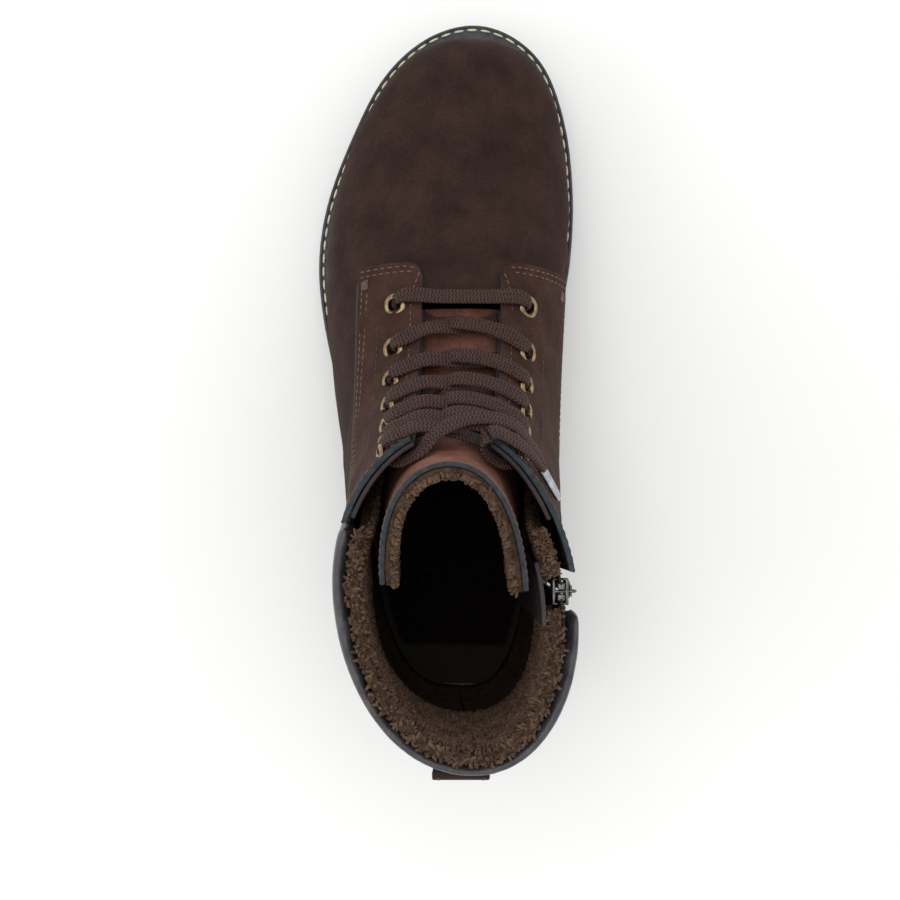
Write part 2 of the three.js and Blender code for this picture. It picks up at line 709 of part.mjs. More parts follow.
function aboveEyelet(row, side) {
  const { t, spacing } = eyeletPlace(row, side);
  return [
    laceAt(t - 0.07, side * (spacing - 4.4), laceEntry),
    laceAt(t - 0.02, side * (spacing - 1.3), laceEntry - 0.4),
    laceAt(t, side * spacing, flapTop + 0.4),
    laceAt(t, side * spacing, 0),
  ];
}

function belowEyelet(row, side) {
  const { t, spacing } = eyeletPlace(row, side);
  return [
    laceAt(t, side * spacing, -leather),
    laceAt(t + 0.02, side * (spacing - 1.6), laceUnder - 0.3),
  ];
}

const tipStations = { left: [12.5, 27.5, 12.4, 33], right: [13.3, 26.5, 13.2, 32] };

function buildLace() {
  const climb = (side) => {
    const points = [];
    let at = side;
    for (let row = 0; row < eyeletRows - 1; row += 1) {
      points.push(...crossingPoints(row, at));
      at = -at;
    }
    return points;
  };
  const bar = [-1, 1].map((side) => [...aboveEyelet(0, side).reverse(), laceAt(7.1, side * 8, laceOver)]);
  const last = eyeletPlace(eyeletRows - 1, 1).t;
  const [leftTip, rightTip] = [tipStations.left, tipStations.right];
  // Side -1 climbs back to side -1 after six crossings, and its end is carried over to the inner flap.
  const outerEnd = [
    ...belowEyelet(eyeletRows - 1, -1), laceAt(last + 0.2, -12, laceUnder), laceAt(last - 0.05, -5, 0.5),
    laceAt(last - 0.35, 6, 5.2), laceAt(last - 0.5, 16, laceOver + 4), laceAt(leftTip[0], leftTip[1] - 5, 6.2),
    laceAt(leftTip[0], leftTip[1] - 1, laceOver + 1.2),
  ];
  const innerEnd = [
    ...belowEyelet(eyeletRows - 1, 1), laceAt(last + 0.2, 13.4, laceUnder - 0.2),
    laceAt(last + 0.3, 10.2, -0.6), laceAt(last + 0.32, 12, laceOver + 0.4),
    laceAt(last + 0.34, 18, laceEntry + 0.4), laceAt(last + 0.34, 22.5, laceEntry + 0.4),
    laceAt(rightTip[0], rightTip[1] - 0.5, laceOver + 1),
  ];
  const path = [...outerEnd.reverse(), ...climb(-1).reverse(), ...bar[0], ...bar[1].reverse(), ...climb(1), ...innerEnd];
  return tube(path, laceDiameter / 2, path.length - 1, 6);
}

function tube(points, radius, steps, sides) {
  const section = new THREE.Shape();
  for (let i = 0; i < sides; i += 1) {
    const angle = 2 * Math.PI * i / sides;
    const [x, y] = [radius * Math.cos(angle), radius * Math.sin(angle)];
    if (i === 0) section.moveTo(x, y);
    else section.lineTo(x, y);
  }
  section.closePath();
  const route = new THREE.CatmullRomCurve3(points, false, 'centripetal');
  route.getUtoTmapping = (u) => u;   // sections stand at the route's own points
  return new THREE.ExtrudeGeometry(section, { steps, extrudePath: route, bevelEnabled: false });
}

function buildLaceTip([fromT, fromBeside, toT, toBeside], lift) {
  const start = laceAt(fromT, fromBeside, laceOver + lift);
  const end = laceAt(toT, toBeside, laceOver - 0.2 + lift);
  const direction = end.clone().sub(start).normalize();
  const far = start.clone().addScaledVector(direction, 17);
  return tube([start.addScaledVector(direction, 0.6), start.clone().lerp(far, 0.5), far], 1.4, 3, 8);
}

// ---- zip ----
// The zip's own frame: origin at the top of the teeth, x towards the toe, y along the teeth (up), z outwards.
const zipEnds = [zipTop, zipBottom].map((z) => {
  const turn = turnAtPlace(z, zipS(z), 1);
  const t = crossing((f) => z - skin(f, turn).z, 6, stations.length - 1);
  return offSkin(t, turn, -zipDepth);
});
const zipUp = zipEnds[0].clone().sub(zipEnds[1]).normalize();
const zipOut = new THREE.Vector3(1, 0, 0).addScaledVector(zipUp, -zipUp.x).normalize();
const zipFrame = new THREE.Matrix4()
  .makeBasis(new THREE.Vector3().crossVectors(zipUp, zipOut), zipUp, zipOut)
  .setPosition(zipEnds[0]);
const zipLength = zipEnds[0].distanceTo(zipEnds[1]);

function box(width, height, depth, x, y, z) {
  return new THREE.BoxGeometry(width, height, depth).translate(x, y, z);
}

const teethTop = -sliderLength * 0.35;
const teethCount = Math.floor((zipLength - 7) / teethPitch);
const teethEnd = teethTop - teethCount * teethPitch + 1.2;

// One side of the teeth: a comb along the tape's edge.
function buildTeeth(side) {
  const comb = new THREE.Shape();
  const [outer, root, tip] = [3.2, 2.2, 0.9];
  comb.moveTo(side * outer, teethTop);
  for (let i = 0; i < teethCount; i += 1) {
    const y = teethTop - i * teethPitch;
    comb.lineTo(side * root, y);
    comb.lineTo(side * tip, y - 0.4);
    comb.lineTo(side * tip, y - 1.4);
    comb.lineTo(side * root, y - 1.8);
  }
  comb.lineTo(side * outer, teethEnd);
  comb.closePath();
  const geometry = new THREE.ExtrudeGeometry(comb, { depth: 2.4, bevelEnabled: false });
  return geometry.translate(0, 0, -1.2).applyMatrix4(zipFrame);
}

// Tape between the teeth and the leather it is sewn under.
function buildTape(side) {
  const positions = [];
  const index = [];
  const rows = 10;
  for (let i = 0; i <= rows; i += 1) {
    const z = mix(zipBottom - 4, toplineHeight - 2, i / rows);
    const nearLine = zipEnds[1].clone().addScaledVector(zipUp, (z - zipEnds[1].z) / zipUp.z);
    const inner = nearLine.add(new THREE.Vector3(3.5 * side, 0, 0).transformDirection(zipFrame).setLength(3.5));
    const turn = turnAtPlace(z, zipS(z) + side * tapeWidth, 1);
    const t = crossing((f) => z - skin(f, turn).z, 6, stations.length - 1);
    const outer = offSkin(t, turn, -zipDepth + 0.35);
    for (const lift of [-0.3, 0.3]) positions.push(inner.x + lift, inner.y, inner.z);
    for (const lift of [-0.3, 0.3]) positions.push(outer.x + lift, outer.y, outer.z);
  }
  const quad = (a, b, c, d) => index.push(a, b, c, a, c, d);
  for (let i = 0; i < rows; i += 1) {
    const [a, b] = [4 * i, 4 * i + 4];
    quad(a, b, b + 2, a + 2);
    quad(a + 1, a + 3, b + 3, b + 1);
    quad(a, a + 1, b + 1, b);
    quad(a + 2, b + 2, b + 3, a + 3);
  }
  const end = 4 * rows;
  quad(0, 2, 3, 1);
  quad(end, end + 1, end + 3, end + 2);
  return closedGeometry(positions, index);
}

// Two plates joined by a post that rides between the rows of teeth, with an arched bail for the puller.
const pinHeight = 3.85;
const pinY = -4.7;
const bailSpan = 4.6;

function buildSlider() {
  const [half, plate] = [4.6, 1.2];
  const middle = -sliderLength / 2;
  const pieces = [
    box(2 * half, sliderLength, plate, 0, middle, -2.2),
    box(0.9, 3, 4.6, 0, -1.5, 0),
    box(1, 1.4, 3, 0, pinY + bailSpan / 2, 4.1),
    box(1, 1.4, 3, 0, pinY - bailSpan / 2, 4.1),
    box(1, bailSpan + 1.4, 1, 0, pinY, 5.3),
  ];
  for (const x of [half - 0.4, 0.4 - half]) {
    for (const z of [1.4, -1.4]) pieces.push(box(0.8, sliderLength, 1.5, x, middle, z));
  }
  return join(box(2 * half, sliderLength, plate, 0, middle, 2.2), pieces).applyMatrix4(zipFrame);
}

// The puller's cross bar lies under the bail, two arms pass beside it and the tab hangs over the teeth.
function buildPuller() {
  const bar = new THREE.CylinderGeometry(0.5, 0.5, 3.8, 8).rotateZ(Math.PI / 2).translate(0, pinY, pinHeight);
  const arms = [-1.5, 1.5].map((x) => box(0.8, 5.2, 1, x, pinY - 2, pinHeight));
  const tab = new THREE.Shape();
  const [narrow, wide, shoulder, chamfer] = [1.9, 3.2, 6, 1.4];
  tab.moveTo(-narrow, 0);
  tab.lineTo(-wide, -shoulder);
  tab.lineTo(-wide, chamfer - pullerLength);
  tab.lineTo(chamfer - wide, -pullerLength);
  tab.lineTo(wide - chamfer, -pullerLength);
  tab.lineTo(wide, chamfer - pullerLength);
  tab.lineTo(wide, -shoulder);
  tab.lineTo(narrow, 0);
  tab.closePath();
  const blade = new THREE.ExtrudeGeometry(tab, { depth: 1, bevelEnabled: false });
  blade.translate(0, pinY - 4.2, pinHeight - 0.5);
  return join(bar, [...arms, blade]).applyMatrix4(zipFrame);
}

const stopSize = 2.4;

function buildStop(x, y, width = stopSize) {
  return box(width, stopSize, stopSize, x, y, 0).applyMatrix4(zipFrame);
}

// A lining flap behind the teeth keeps them off the sock.
function buildZipGuard() {
  const depth = liningDepth + liningThickness + 2 * clearance;
  const turnOf = (z, v) => turnAtPlace(z, zipS(z) + mix(12, -12, v), 1);
  const at = uprightAt(turnOf, zipBottom - 18, toplineHeight - 3);
  return panel(9, 4, at, -depth - 1.4, -depth);
}

// ---- assembly ----
const boot = new THREE.Group();

function add(name, geometry, color, roughness, metalness = 0) {
  const material = new THREE.MeshStandardMaterial({ color, roughness, metalness });
  const mesh = new THREE.Mesh(geometry, material);
  mesh.name = name;
  boot.add(mesh);
}

const [nubuck, smoothLeather, plush] = [0x45332f, 0x4a3d3a, 0x4a3a30];
const [rubber, brass, gunmetal, webbing] = [0x2f3133, 0xb09873, 0x6a6869, 0x5e433f];

add('outsole', buildOutsole(), rubber, 0.75);
add('heel_block', buildHeelBlock(), rubber, 0.75);
add('midsole', solePlate(1.2, midsoleBottom, (s) => weltBottom(s) - clearance), 0x3a3b3c, 0.8);
add('welt', buildWelt(), 0x37393b, 0.7);
add('cork_filler', buildFiller(), 0x9a7a55, 0.95);
add('shank', buildShank(), 0x8d9196, 0.4, 1);
add('insole_board', buildInsoleBoard(), 0xb59c78, 0.9);
add('footbed', buildFootbed(), plush, 1);
add('toe_puff', buildToePuff(), 0x8a7a66, 0.8);
add('heel_counter', buildHeelCounter(), 0x8a7a66, 0.8);
add('vamp', buildVamp(), nubuck, 0.9);
add('outer_lace_flap', buildOuterFlap(), nubuck, 0.9);
add('inner_lace_flap', buildInnerFlap(), nubuck, 0.9);
add('outer_lace_facing', buildFacing(-1), smoothLeather, 0.7);
add('inner_lace_facing', buildFacing(1), smoothLeather, 0.7);
add('outer_rear_quarter', buildOuterRearQuarter(), nubuck, 0.9);
add('inner_rear_quarter', buildInnerRearQuarter(), nubuck, 0.9);
add('backstay', buildBackstay(), nubuck, 0.9);
add('padded_collar', buildCollar(), smoothLeather, 0.55);
add('heel_pull_loop', buildPullLoop(), smoothLeather, 0.7);
add('vamp_lining', buildVampLining(), plush, 1);
add('outer_front_lining', buildOuterFrontLining(), plush, 1);
add('outer_rear_lining', buildOuterRearLining(), plush, 1);
add('inner_front_lining', buildInnerFrontLining(), plush, 1);
add('inner_rear_lining', buildInnerRearLining(), plush, 1);
add('tongue', tonguePanel(0, tongueLeather), 0x5f443d, 0.9);
add('tongue_lining', tonguePanel(tongueLeather + clearance, tongueLeather + clearance + tonguePadding), plush, 1);
for (let row = 0; row < eyeletRows; row += 1) {
  add(`outer_eyelet_${row + 1}`, buildEyelet(row, -1), brass, 0.35, 1);
  add(`inner_eyelet_${row + 1}`, buildEyelet(row, 1), brass, 0.35, 1);
}
add('lace', buildLace(), webbing, 0.9);
add('lace_tip_1', buildLaceTip(tipStations.left, 0.4), gunmetal, 0.4, 1);
add('lace_tip_2', buildLaceTip(tipStations.right, 0.4), gunmetal, 0.4, 1);
add('front_zip_tape', buildTape(1), 0x1f1c1b, 0.9);
add('rear_zip_tape', buildTape(-1), 0x1f1c1b, 0.9);
add('front_zip_teeth', buildTeeth(1), gunmetal, 0.4, 1);
add('rear_zip_teeth', buildTeeth(-1), gunmetal, 0.4, 1);
add('zip_slider', buildSlider(), gunmetal, 0.4, 1);
add('zip_puller', buildPuller(), gunmetal, 0.4, 1);
add('front_top_stop', buildStop(1.9, 2), gunmetal, 0.4, 1);
add('rear_top_stop', buildStop(-1.9, 2), gunmetal, 0.4, 1);
add('zip_bottom_stop', buildStop(0, teethEnd - stopSize / 2 - clearance, 5), gunmetal, 0.4, 1);
add('zip_guard', buildZipGuard(), 0x2b2422, 0.9);

// The group turns the toe to -Y and puts the origin at the bottom centre of the whole boot.
boot.rotation.z = Math.PI;
boot.updateMatrixWorld(true);
const bounds = new THREE.Box3().setFromObject(boot, true);
boot.position.set(-(bounds.min.x + bounds.max.x) / 2, -(bounds.min.y + bounds.max.y) / 2, -bounds.min.z);

export default boot;
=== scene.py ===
# Insulated winter boot, left foot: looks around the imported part.
import math
import random

import bmesh
import bpy
import numpy as np
from mathutils import Matrix, Vector
from mathutils import noise as mathNoise


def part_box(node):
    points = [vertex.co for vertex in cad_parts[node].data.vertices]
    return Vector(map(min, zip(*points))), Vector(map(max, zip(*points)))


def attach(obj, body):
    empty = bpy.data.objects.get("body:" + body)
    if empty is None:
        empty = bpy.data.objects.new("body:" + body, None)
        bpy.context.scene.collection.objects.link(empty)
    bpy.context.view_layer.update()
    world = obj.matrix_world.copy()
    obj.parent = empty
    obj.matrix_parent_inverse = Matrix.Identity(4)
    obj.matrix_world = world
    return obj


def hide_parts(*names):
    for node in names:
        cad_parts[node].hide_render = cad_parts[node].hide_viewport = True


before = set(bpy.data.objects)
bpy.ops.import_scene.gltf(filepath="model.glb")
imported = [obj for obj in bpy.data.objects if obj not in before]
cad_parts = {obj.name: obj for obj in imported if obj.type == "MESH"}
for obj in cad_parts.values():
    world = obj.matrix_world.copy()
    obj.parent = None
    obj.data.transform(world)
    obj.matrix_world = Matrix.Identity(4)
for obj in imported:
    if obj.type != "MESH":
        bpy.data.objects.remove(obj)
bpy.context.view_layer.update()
scene = bpy.context.scene
random.seed(11)

# the sole's box places the last
soleLow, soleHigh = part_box("outsole")
soleMiddle = -1.75      # the sole's middle line across the last, mm
heelBack = 4.0          # the sole's rearmost point along the last, mm
heelX = (soleLow.x + soleHigh.x) / 2
heelY = soleHigh.y


def toWorld(points):
    # last coordinates (across, heel to toe, up) in mm to scene metres
    p = np.asarray(points, float)
    across = heelX - (p[..., 0] - soleMiddle) / 1000
    along = heelY - (p[..., 1] - heelBack) / 1000
    return np.stack([across, along, p[..., 2] / 1000], axis=-1)


# the camera looks straight down: height in m, lens and film in mm, place on the last in mm
view = {"height": 0.612, "lens": 53.28, "film": 36, "nearest": 0.01, "across": 0.0, "along": 115.9}

cameraData = bpy.data.cameras.new("overheadCamera")
cameraData.lens = view["lens"]
cameraData.sensor_width = view["film"]
cameraData.clip_start = view["nearest"]
camera = bpy.data.objects.new("overheadCamera", cameraData)
cameraSpot = toWorld([view["across"], view["along"], 0])
camera.location = (cameraSpot[0], cameraSpot[1], view["height"])
camera.rotation_euler = (0, 0, math.pi)
scene.collection.objects.link(camera)
scene.camera = camera
scene.view_settings.view_transform = "Standard"


def srgb(code):
    # hex colour to the linear colour that shaders work in
    values = [int(code[i:i + 2], 16) / 255 for i in (1, 3, 5)]
    linear = [v / 12.92 if v <= 0.04045 else ((v + 0.055) / 1.055) ** 2.4 for v in values]
    return (*linear, 1)


def addNode(tree, kind, inputs=None, stops=None, **settings):
    node = tree.nodes.new("ShaderNode" + kind)
    for key, value in settings.items():
        setattr(node, key, value)
    for socket, value in (inputs or {}).items():
        if isinstance(value, bpy.types.NodeSocket):
            tree.links.new(value, node.inputs[socket])
        else:
            node.inputs[socket].default_value = value
    if stops:
        ramp = node.color_ramp.elements
        while len(ramp) < len(stops):
            ramp.new(0.5)
        for element, (place, code) in zip(ramp, stops):
            element.position = place
            element.color = srgb(code)
    return node


def startMaterial(name, roughness=0.5, **constants):
    material = bpy.data.materials.new(name)
    material.use_nodes = True
    tree = material.node_tree
    shader = tree.nodes["Principled BSDF"]
    shader.inputs["Roughness"].default_value = roughness
    for socket, value in constants.items():
        shader.inputs[socket.replace("_", " ")].default_value = value
    return material, tree, shader


def perMetre(millimetres):
    return 1000 / millimetres


# an even white surround, two softboxes (place and size in m, power in W) and a pale floor
studio = {
    "sky": "#ffffff", "skyStrength": 0.95, "floor": "#f4f4f3", "floorReach": 4, "aim": (0, 0, 0.05),
    "softboxes": {
        "topSoftbox": {"place": (0.15, -0.35, 1.5), "size": 1.0, "power": 6.0},
        "leftSoftbox": {"place": (1.2, 0.3, 0.9), "size": 0.9, "power": 2.5},
    },
}
world = bpy.data.worlds.new("studio")
scene.world = world
world.use_nodes = True
backdrop = world.node_tree.nodes["Background"]
backdrop.inputs["Color"].default_value = srgb(studio["sky"])
backdrop.inputs["Strength"].default_value = studio["skyStrength"]

for name, box in studio["softboxes"].items():
    lampData = bpy.data.lights.new(name, "AREA")
    lampData.shape = "SQUARE"
    lampData.size = box["size"]
    lampData.energy = box["power"]
    lamp = bpy.data.objects.new(name, lampData)
    lamp.location = box["place"]
    lamp.rotation_euler = (lamp.location - Vector(studio["aim"])).to_track_quat("Z", "Y").to_euler()
    scene.collection.objects.link(lamp)

floorMesh = bpy.data.meshes.new("floor")
floorForm = bmesh.new()
bmesh.ops.create_grid(floorForm, x_segments=1, y_segments=1, size=studio["floorReach"])
floorForm.to_mesh(floorMesh)
floorForm.free()
floor = bpy.data.objects.new("floor", floorMesh)
scene.collection.objects.link(floor)
floorPaint, _, floorShader = startMaterial("paleFloor", 0.9)
floorShader.inputs["Base Color"].default_value = srgb(studio["floor"])
floorMesh.materials.append(floorPaint)
print("camera, floor and light ready")

# the last, in mm: closed sections from the toe over the instep and up the shaft, each row giving
# front along, front up, rear along, rear up, outer side, inner side, ridge, spine, front and rear squareness
stations = np.array([
    [294.5, 28, 294.5, 28, 8.5, 8.5, 8.5, 8.5, 2.1, 2.2],
    [292.5, 40, 286.5, 19, -8.7, 25.3, 8.4, 8, 2.1, 2.3],
    [286.5, 52, 272.5, 10, -20.8, 36.6, 8, 7.5, 2.2, 2.4],
    [275, 60, 255, 3, -31.8, 44.4, 7.6, 6, 2.3, 2.5],
    [256, 65, 236, -3, -42.3, 48.9, 6.8, 4, 2.3, 2.5],
    [230, 70, 214, -6, -50.2, 51, 5.8, 2, 2.3, 2.5],
    [203, 78, 193, -12, -53, 50.3, 4.8, 0, 2.25, 2.5],
    [176, 91, 160, -20, -52.6, 47, 4.5, -1, 2.15, 2.4],
    [158, 102, 122, -26, -49.3, 45, 4, 0, 2.1, 2.4],
    [146, 113, 88, -21, -45.6, 43.5, 3.3, 1, 2.05, 2.4],
    [137, 127, 58, -11, -43, 42.5, 2.6, 2, 2.05, 2.5],
    [130, 141, 30, 4, -41.2, 42, 2, 3, 2.05, 2.6],
    [125, 154, 9, 34, -40, 41.5, 1.4, 4, 2.05, 2.6],
    [121.5, 166, 4, 58, -39, 41.5, 0.8, 5, 2.1, 2.4],
    [119, 177, 4.5, 88, -38.5, 41.5, 0.4, 6, 2.1, 2.2],
    [117.5, 187, 8, 117, -38, 41.5, 0.2, 7, 2.1, 2.1],
    [117, 197, 7.5, 145, -37.5, 41.5, 0, 8, 2.1, 2.1],
    [116, 209, 5.5, 172, -37.5, 41.5, 0, 8, 2.1, 2.1],
])
lastRow = len(stations) - 1
# edge of the sole: outer side from the heel to the toe, then the inner side back
soleOutline = np.array([
    [5, 4], [-13, 7.5], [-27, 19], [-35.5, 40], [-40, 70], [-43.5, 105], [-50, 140], [-57, 175],
    [-58.8, 200], [-55, 225], [-45, 252], [-30.5, 279.5], [-12, 296.5], [9, 303], [28, 298],
    [43, 283.5], [52, 258], [55.3, 228], [54, 200], [49.5, 175], [44, 143], [42, 108], [42, 72],
    [40.5, 42], [34.5, 20], [22, 7],
], float)
last = {
    "ballHeight": 22, "heelRise": 12, "heelRiseFrom": 150, "heelRiseOver": 90, "toeSpring": 6,
    "toeSpringFrom": 215, "toeSpringOver": 85, "throatHalf": 15, "throatTaper": 0.25, "throatTaperFrom": 7,
    "toplineHeight": 165, "shaftFrom": 6, "zipTop": 158, "zipBottom": 62, "zipTopPlace": 68,
    "zipBottomPlace": 62, "zipGap": 6.5, "seamBeside": 40.5, "seamTaper": 0.75, "flapHeight": 57,
    "wingHeight": 62, "liningFoot": 2.5,
}


def smoothStep(x):
    f = np.clip(x, 0, 1)
    return f * f * (3 - 2 * f)


def mix(a, b, f):
    return a + (b - a) * f


def featherZ(s):
    # height of the line where the leather meets the sole
    spring = np.maximum(0, (np.asarray(s, float) - last["toeSpringFrom"]) / last["toeSpringOver"])
    heel = smoothStep((last["heelRiseFrom"] - s) / last["heelRiseOver"])
    return last["ballHeight"] + last["heelRise"] * heel + last["toeSpring"] * spring ** 2


def stationAt(t):
    # the section at any share between two rows, on a smooth curve through them
    t = np.asarray(t, float)
    k = np.clip(np.floor(t).astype(int), 0, lastRow - 1)
    f = (t - k)[..., None]
    a, b, c, d = [stations[np.clip(k + i, 0, lastRow)] for i in (-1, 0, 1, 2)]
    start = (c - a) / 2
    end = (d - b) / 2
    bend = 2 * b - 2 * c + start + end
    return ((bend * f + (c - b - start - bend)) * f + start) * f + b


def skin(t, turn):
    # a point of the last: t counts the sections, turn goes from the ridge round to the spine
    t, turn = np.broadcast_arrays(np.asarray(t, float), np.asarray(turn, float))
    row = np.moveaxis(stationAt(t), -1, 0)
    frontS, frontZ, rearS, rearZ, left, right, ridge, spine, frontSquare, rearSquare = row
    ahead, aside = np.cos(turn), np.sin(turn)
    power = mix(frontSquare, rearSquare, (1 - ahead) / 2)
    reach = (np.abs(ahead) ** power + np.abs(aside) ** power) ** (-1 / power)
    middle = (ridge + spine) / 2
    half = np.where(aside < 0, middle - left, right - middle)
    return np.stack([
        middle + (ridge - spine) / 2 * reach * ahead + half * reach * aside,
        (frontS + rearS) / 2 + (frontS - rearS) / 2 * reach * ahead,
        (frontZ + rearZ) / 2 + (frontZ - rearZ) / 2 * reach * ahead,
    ], axis=-1)


def skinNormal(t, turn):
    t, turn = np.broadcast_arrays(np.asarray(t, float), np.asarray(turn, float))
    step = 0.01
    along = skin(t + step, turn) - skin(t - step, turn)
    around = skin(t, turn + step) - skin(t, turn - step)
    normal = np.cross(around, along)
    normal /= np.maximum(np.linalg.norm(normal, axis=-1, keepdims=True), 1e-9)
    row = stationAt(t)
    core = np.stack([(row[..., 4] + row[..., 5]) / 2, (row[..., 0] + row[..., 2]) / 2,
                     (row[..., 1] + row[..., 3]) / 2], axis=-1)
    facing = np.sum(normal * (skin(t, turn) - core), axis=-1, keepdims=True)
    normal = np.where(facing < 0, -normal, normal)
    return np.where(t[..., None] < 0.01, np.array([0.0, 1.0, 0.0]), normal)


def offSkin(t, turn, offset):
    # the same point, raised off the last by some mm
    return skin(t, turn) + skinNormal(t, turn) * np.asarray(offset, float)[..., None]


def crossing(f, low, high, like):
    # where f turns from positive to negative between two values, for a whole array at once
    a = np.full(np.shape(like), float(low))
    b = np.full(np.shape(like), float(high))
    never = f(b) > 0
    for _ in range(24):
        middle = (a + b) / 2
        positive = f(middle) > 0
        a = np.where(positive, middle, a)
        b = np.where(positive, b, middle)
    return np.where(never, float(high), (a + b) / 2)


def tabulated(f, low=0.0, high=17.0, count=240):
    # an edge line worked out once and then read off
    places = np.linspace(low, high, count)
    values = f(places)
    return lambda t: np.interp(t, places, values)


def turnAboveFeather(side, above):
    def edge(t):
        def height(b):
            p = skin(t, side * b)
            return p[..., 2] - featherZ(p[..., 1]) - above
        return side * crossing(height, 0.45 * math.pi, math.pi, t)
    return tabulated(edge)


def turnAtHeight(side, height):
    def edge(t):
        return side * crossing(lambda b: skin(t, side * b)[..., 2] - height, 0.05, math.pi, t)
    return tabulated(edge)


def turnBeside(t, side, distance):
    # the turn at which the skin is some mm to one side of its ridge
    ridge = stationAt(t)[..., 6]
    return side * crossing(lambda b: distance - side * (skin(t, side * b)[..., 0] - ridge), 0, math.pi / 2, t)


def tapered(width, taper, t):
    # a half width that narrows up the shaft
    return width - taper * np.maximum(0, t - last["throatTaperFrom"])


def throatHalf(t):
    return tapered(last["throatHalf"], last["throatTaper"], t)


throatTurn = {side: tabulated(lambda t, side=side: turnBeside(t, side, throatHalf(t))) for side in (-1, 1)}
outerSeamTurn = tabulated(lambda t: turnBeside(t, -1, tapered(last["seamBeside"], last["seamTaper"], t)))
flapHeightTurn = turnAtHeight(1, last["flapHeight"])
wingHeightTurn = turnAtHeight(1, last["wingHeight"])
featherTurn = {side: turnAboveFeather(side, 0) for side in (-1, 1)}
liningFootTurn = {side: turnAboveFeather(side, last["liningFoot"]) for side in (-1, 1)}


def zipS(z):
    # the zip leans a little: its place along the foot at each height
    share = (z - last["zipBottom"]) / (last["zipTop"] - last["zipBottom"])
    return mix(last["zipBottomPlace"], last["zipTopPlace"], share)


def zipTurnEdge(t):
    def ahead(b):
        p = skin(t, b)
        return p[..., 1] - zipS(p[..., 2]) - last["zipGap"]
    return crossing(ahead, 0.2, math.pi, t)


zipTurn = tabulated(zipTurnEdge)


def innerEdgeTurn(t):
    return np.minimum(flapHeightTurn(t), zipTurn(t))


def stationAtHeight(turnOf, height, like):
    return crossing(lambda t: height - skin(t, turnOf(t))[..., 2], last["shaftFrom"], lastRow, like)


def stationAtPlace(turnOf, s, like):
    return crossing(lambda t: skin(t, turnOf(t))[..., 1] - s, last["shaftFrom"], lastRow, like)


def stationAtZ(z, turn):
    return crossing(lambda f: z - skin(f, turn)[..., 2], last["shaftFrom"], lastRow, z)


def turnAtPlace(sOfZ, side):
    # the turn at which the slice at each height reaches a given place along the foot
    def edge(z):
        def ahead(b):
            return skin(stationAtZ(z, side * b), side * b)[..., 1] - sOfZ(z)
        return side * crossing(ahead, 0.6, math.pi, z)
    return tabulated(edge, 20, 185, 100)


def flapAt(startT, edgeA, edgeB, height):
    # a panel between two edge lines, from one section up to a level top
    def at(u, v):
        def turnOf(t):
            return mix(edgeA(t), edgeB(t), v)
        t = mix(startT, stationAtHeight(turnOf, height, v), u)
        return t, turnOf(t)
    return at


def uprightAt(turnOf, bottomZ, topZ):
    # a panel of the shaft between two heights
    def at(u, v):
        z = mix(bottomZ, topZ, u)
        turn = turnOf(z, v)
        return stationAtZ(z, turn), turn
    return at


print("last ready")


def addBump(tree, shader, height, strength, depth, below=None):
    links = {"Height": height, "Strength": strength, "Distance": depth}
    if below:
        links["Normal"] = below
    bump = addNode(tree, "Bump", links)
    tree.links.new(bump.outputs["Normal"], shader.inputs["Normal"])
    return bump.outputs["Normal"]


def leatherFinish(name, look):
    # the colour drifts between three tones over the hide, and two bumps give its grain and its soft hollows
    material, tree, shader = startMaterial(
        name, look["roughness"], Sheen_Weight=look["sheen"], Sheen_Roughness=0.45,
        Sheen_Tint=srgb(look["bloom"]), Coat_Weight=look.get("coat", 0.0), Coat_Roughness=0.35,
        Specular_IOR_Level=look.get("shine", 0.16), IOR=1.46)
    spot = addNode(tree, "TexCoord").outputs["Object"]
    drift = addNode(tree, "TexNoise", {
        "Vector": spot, "Scale": perMetre(look["mottle"]), "Detail": 6.0, "Roughness": 0.62})
    tones = addNode(tree, "ValToRGB", {"Fac": drift.outputs["Fac"]}, stops=[
        (0.3, look["dark"]), (0.5, look["middle"]), (0.72, look["light"])])
    nap = addNode(tree, "TexNoise", {
        "Vector": spot, "Scale": perMetre(look["nap"]), "Detail": 3.0, "Roughness": 0.7})
    napTone = addNode(tree, "ValToRGB", {"Fac": nap.outputs["Fac"]}, stops=[
        (0.35, look["napDark"]), (0.65, look["napLight"])])
    blended = addNode(tree, "Mix", {6: tones.outputs["Color"], 7: napTone.outputs["Color"]},
                      data_type="RGBA", blend_type="MULTIPLY")
    blended.inputs[0].default_value = look["napShare"]
    tree.links.new(blended.outputs[2], shader.inputs["Base Color"])
    hollows = addNode(tree, "TexNoise", {"Vector": spot, "Scale": perMetre(look["hollow"]), "Detail": 2.0})
    low = addBump(tree, shader, hollows.outputs["Fac"], 0.6, look["hollowDepth"])
    if look.get("cell"):
        cells = addNode(tree, "TexVoronoi", {
            "Vector": spot, "Scale": perMetre(look["cell"])}, feature="DISTANCE_TO_EDGE")
        grainHeight = addNode(tree, "ValToRGB", {"Fac": cells.outputs["Distance"]}, stops=[
            (0.0, "#000000"), (0.35, "#ffffff")]).outputs["Color"]
    else:
        grainHeight = nap.outputs["Fac"]
    addBump(tree, shader, grainHeight, look["grain"], look["grainDepth"], low)
    return material


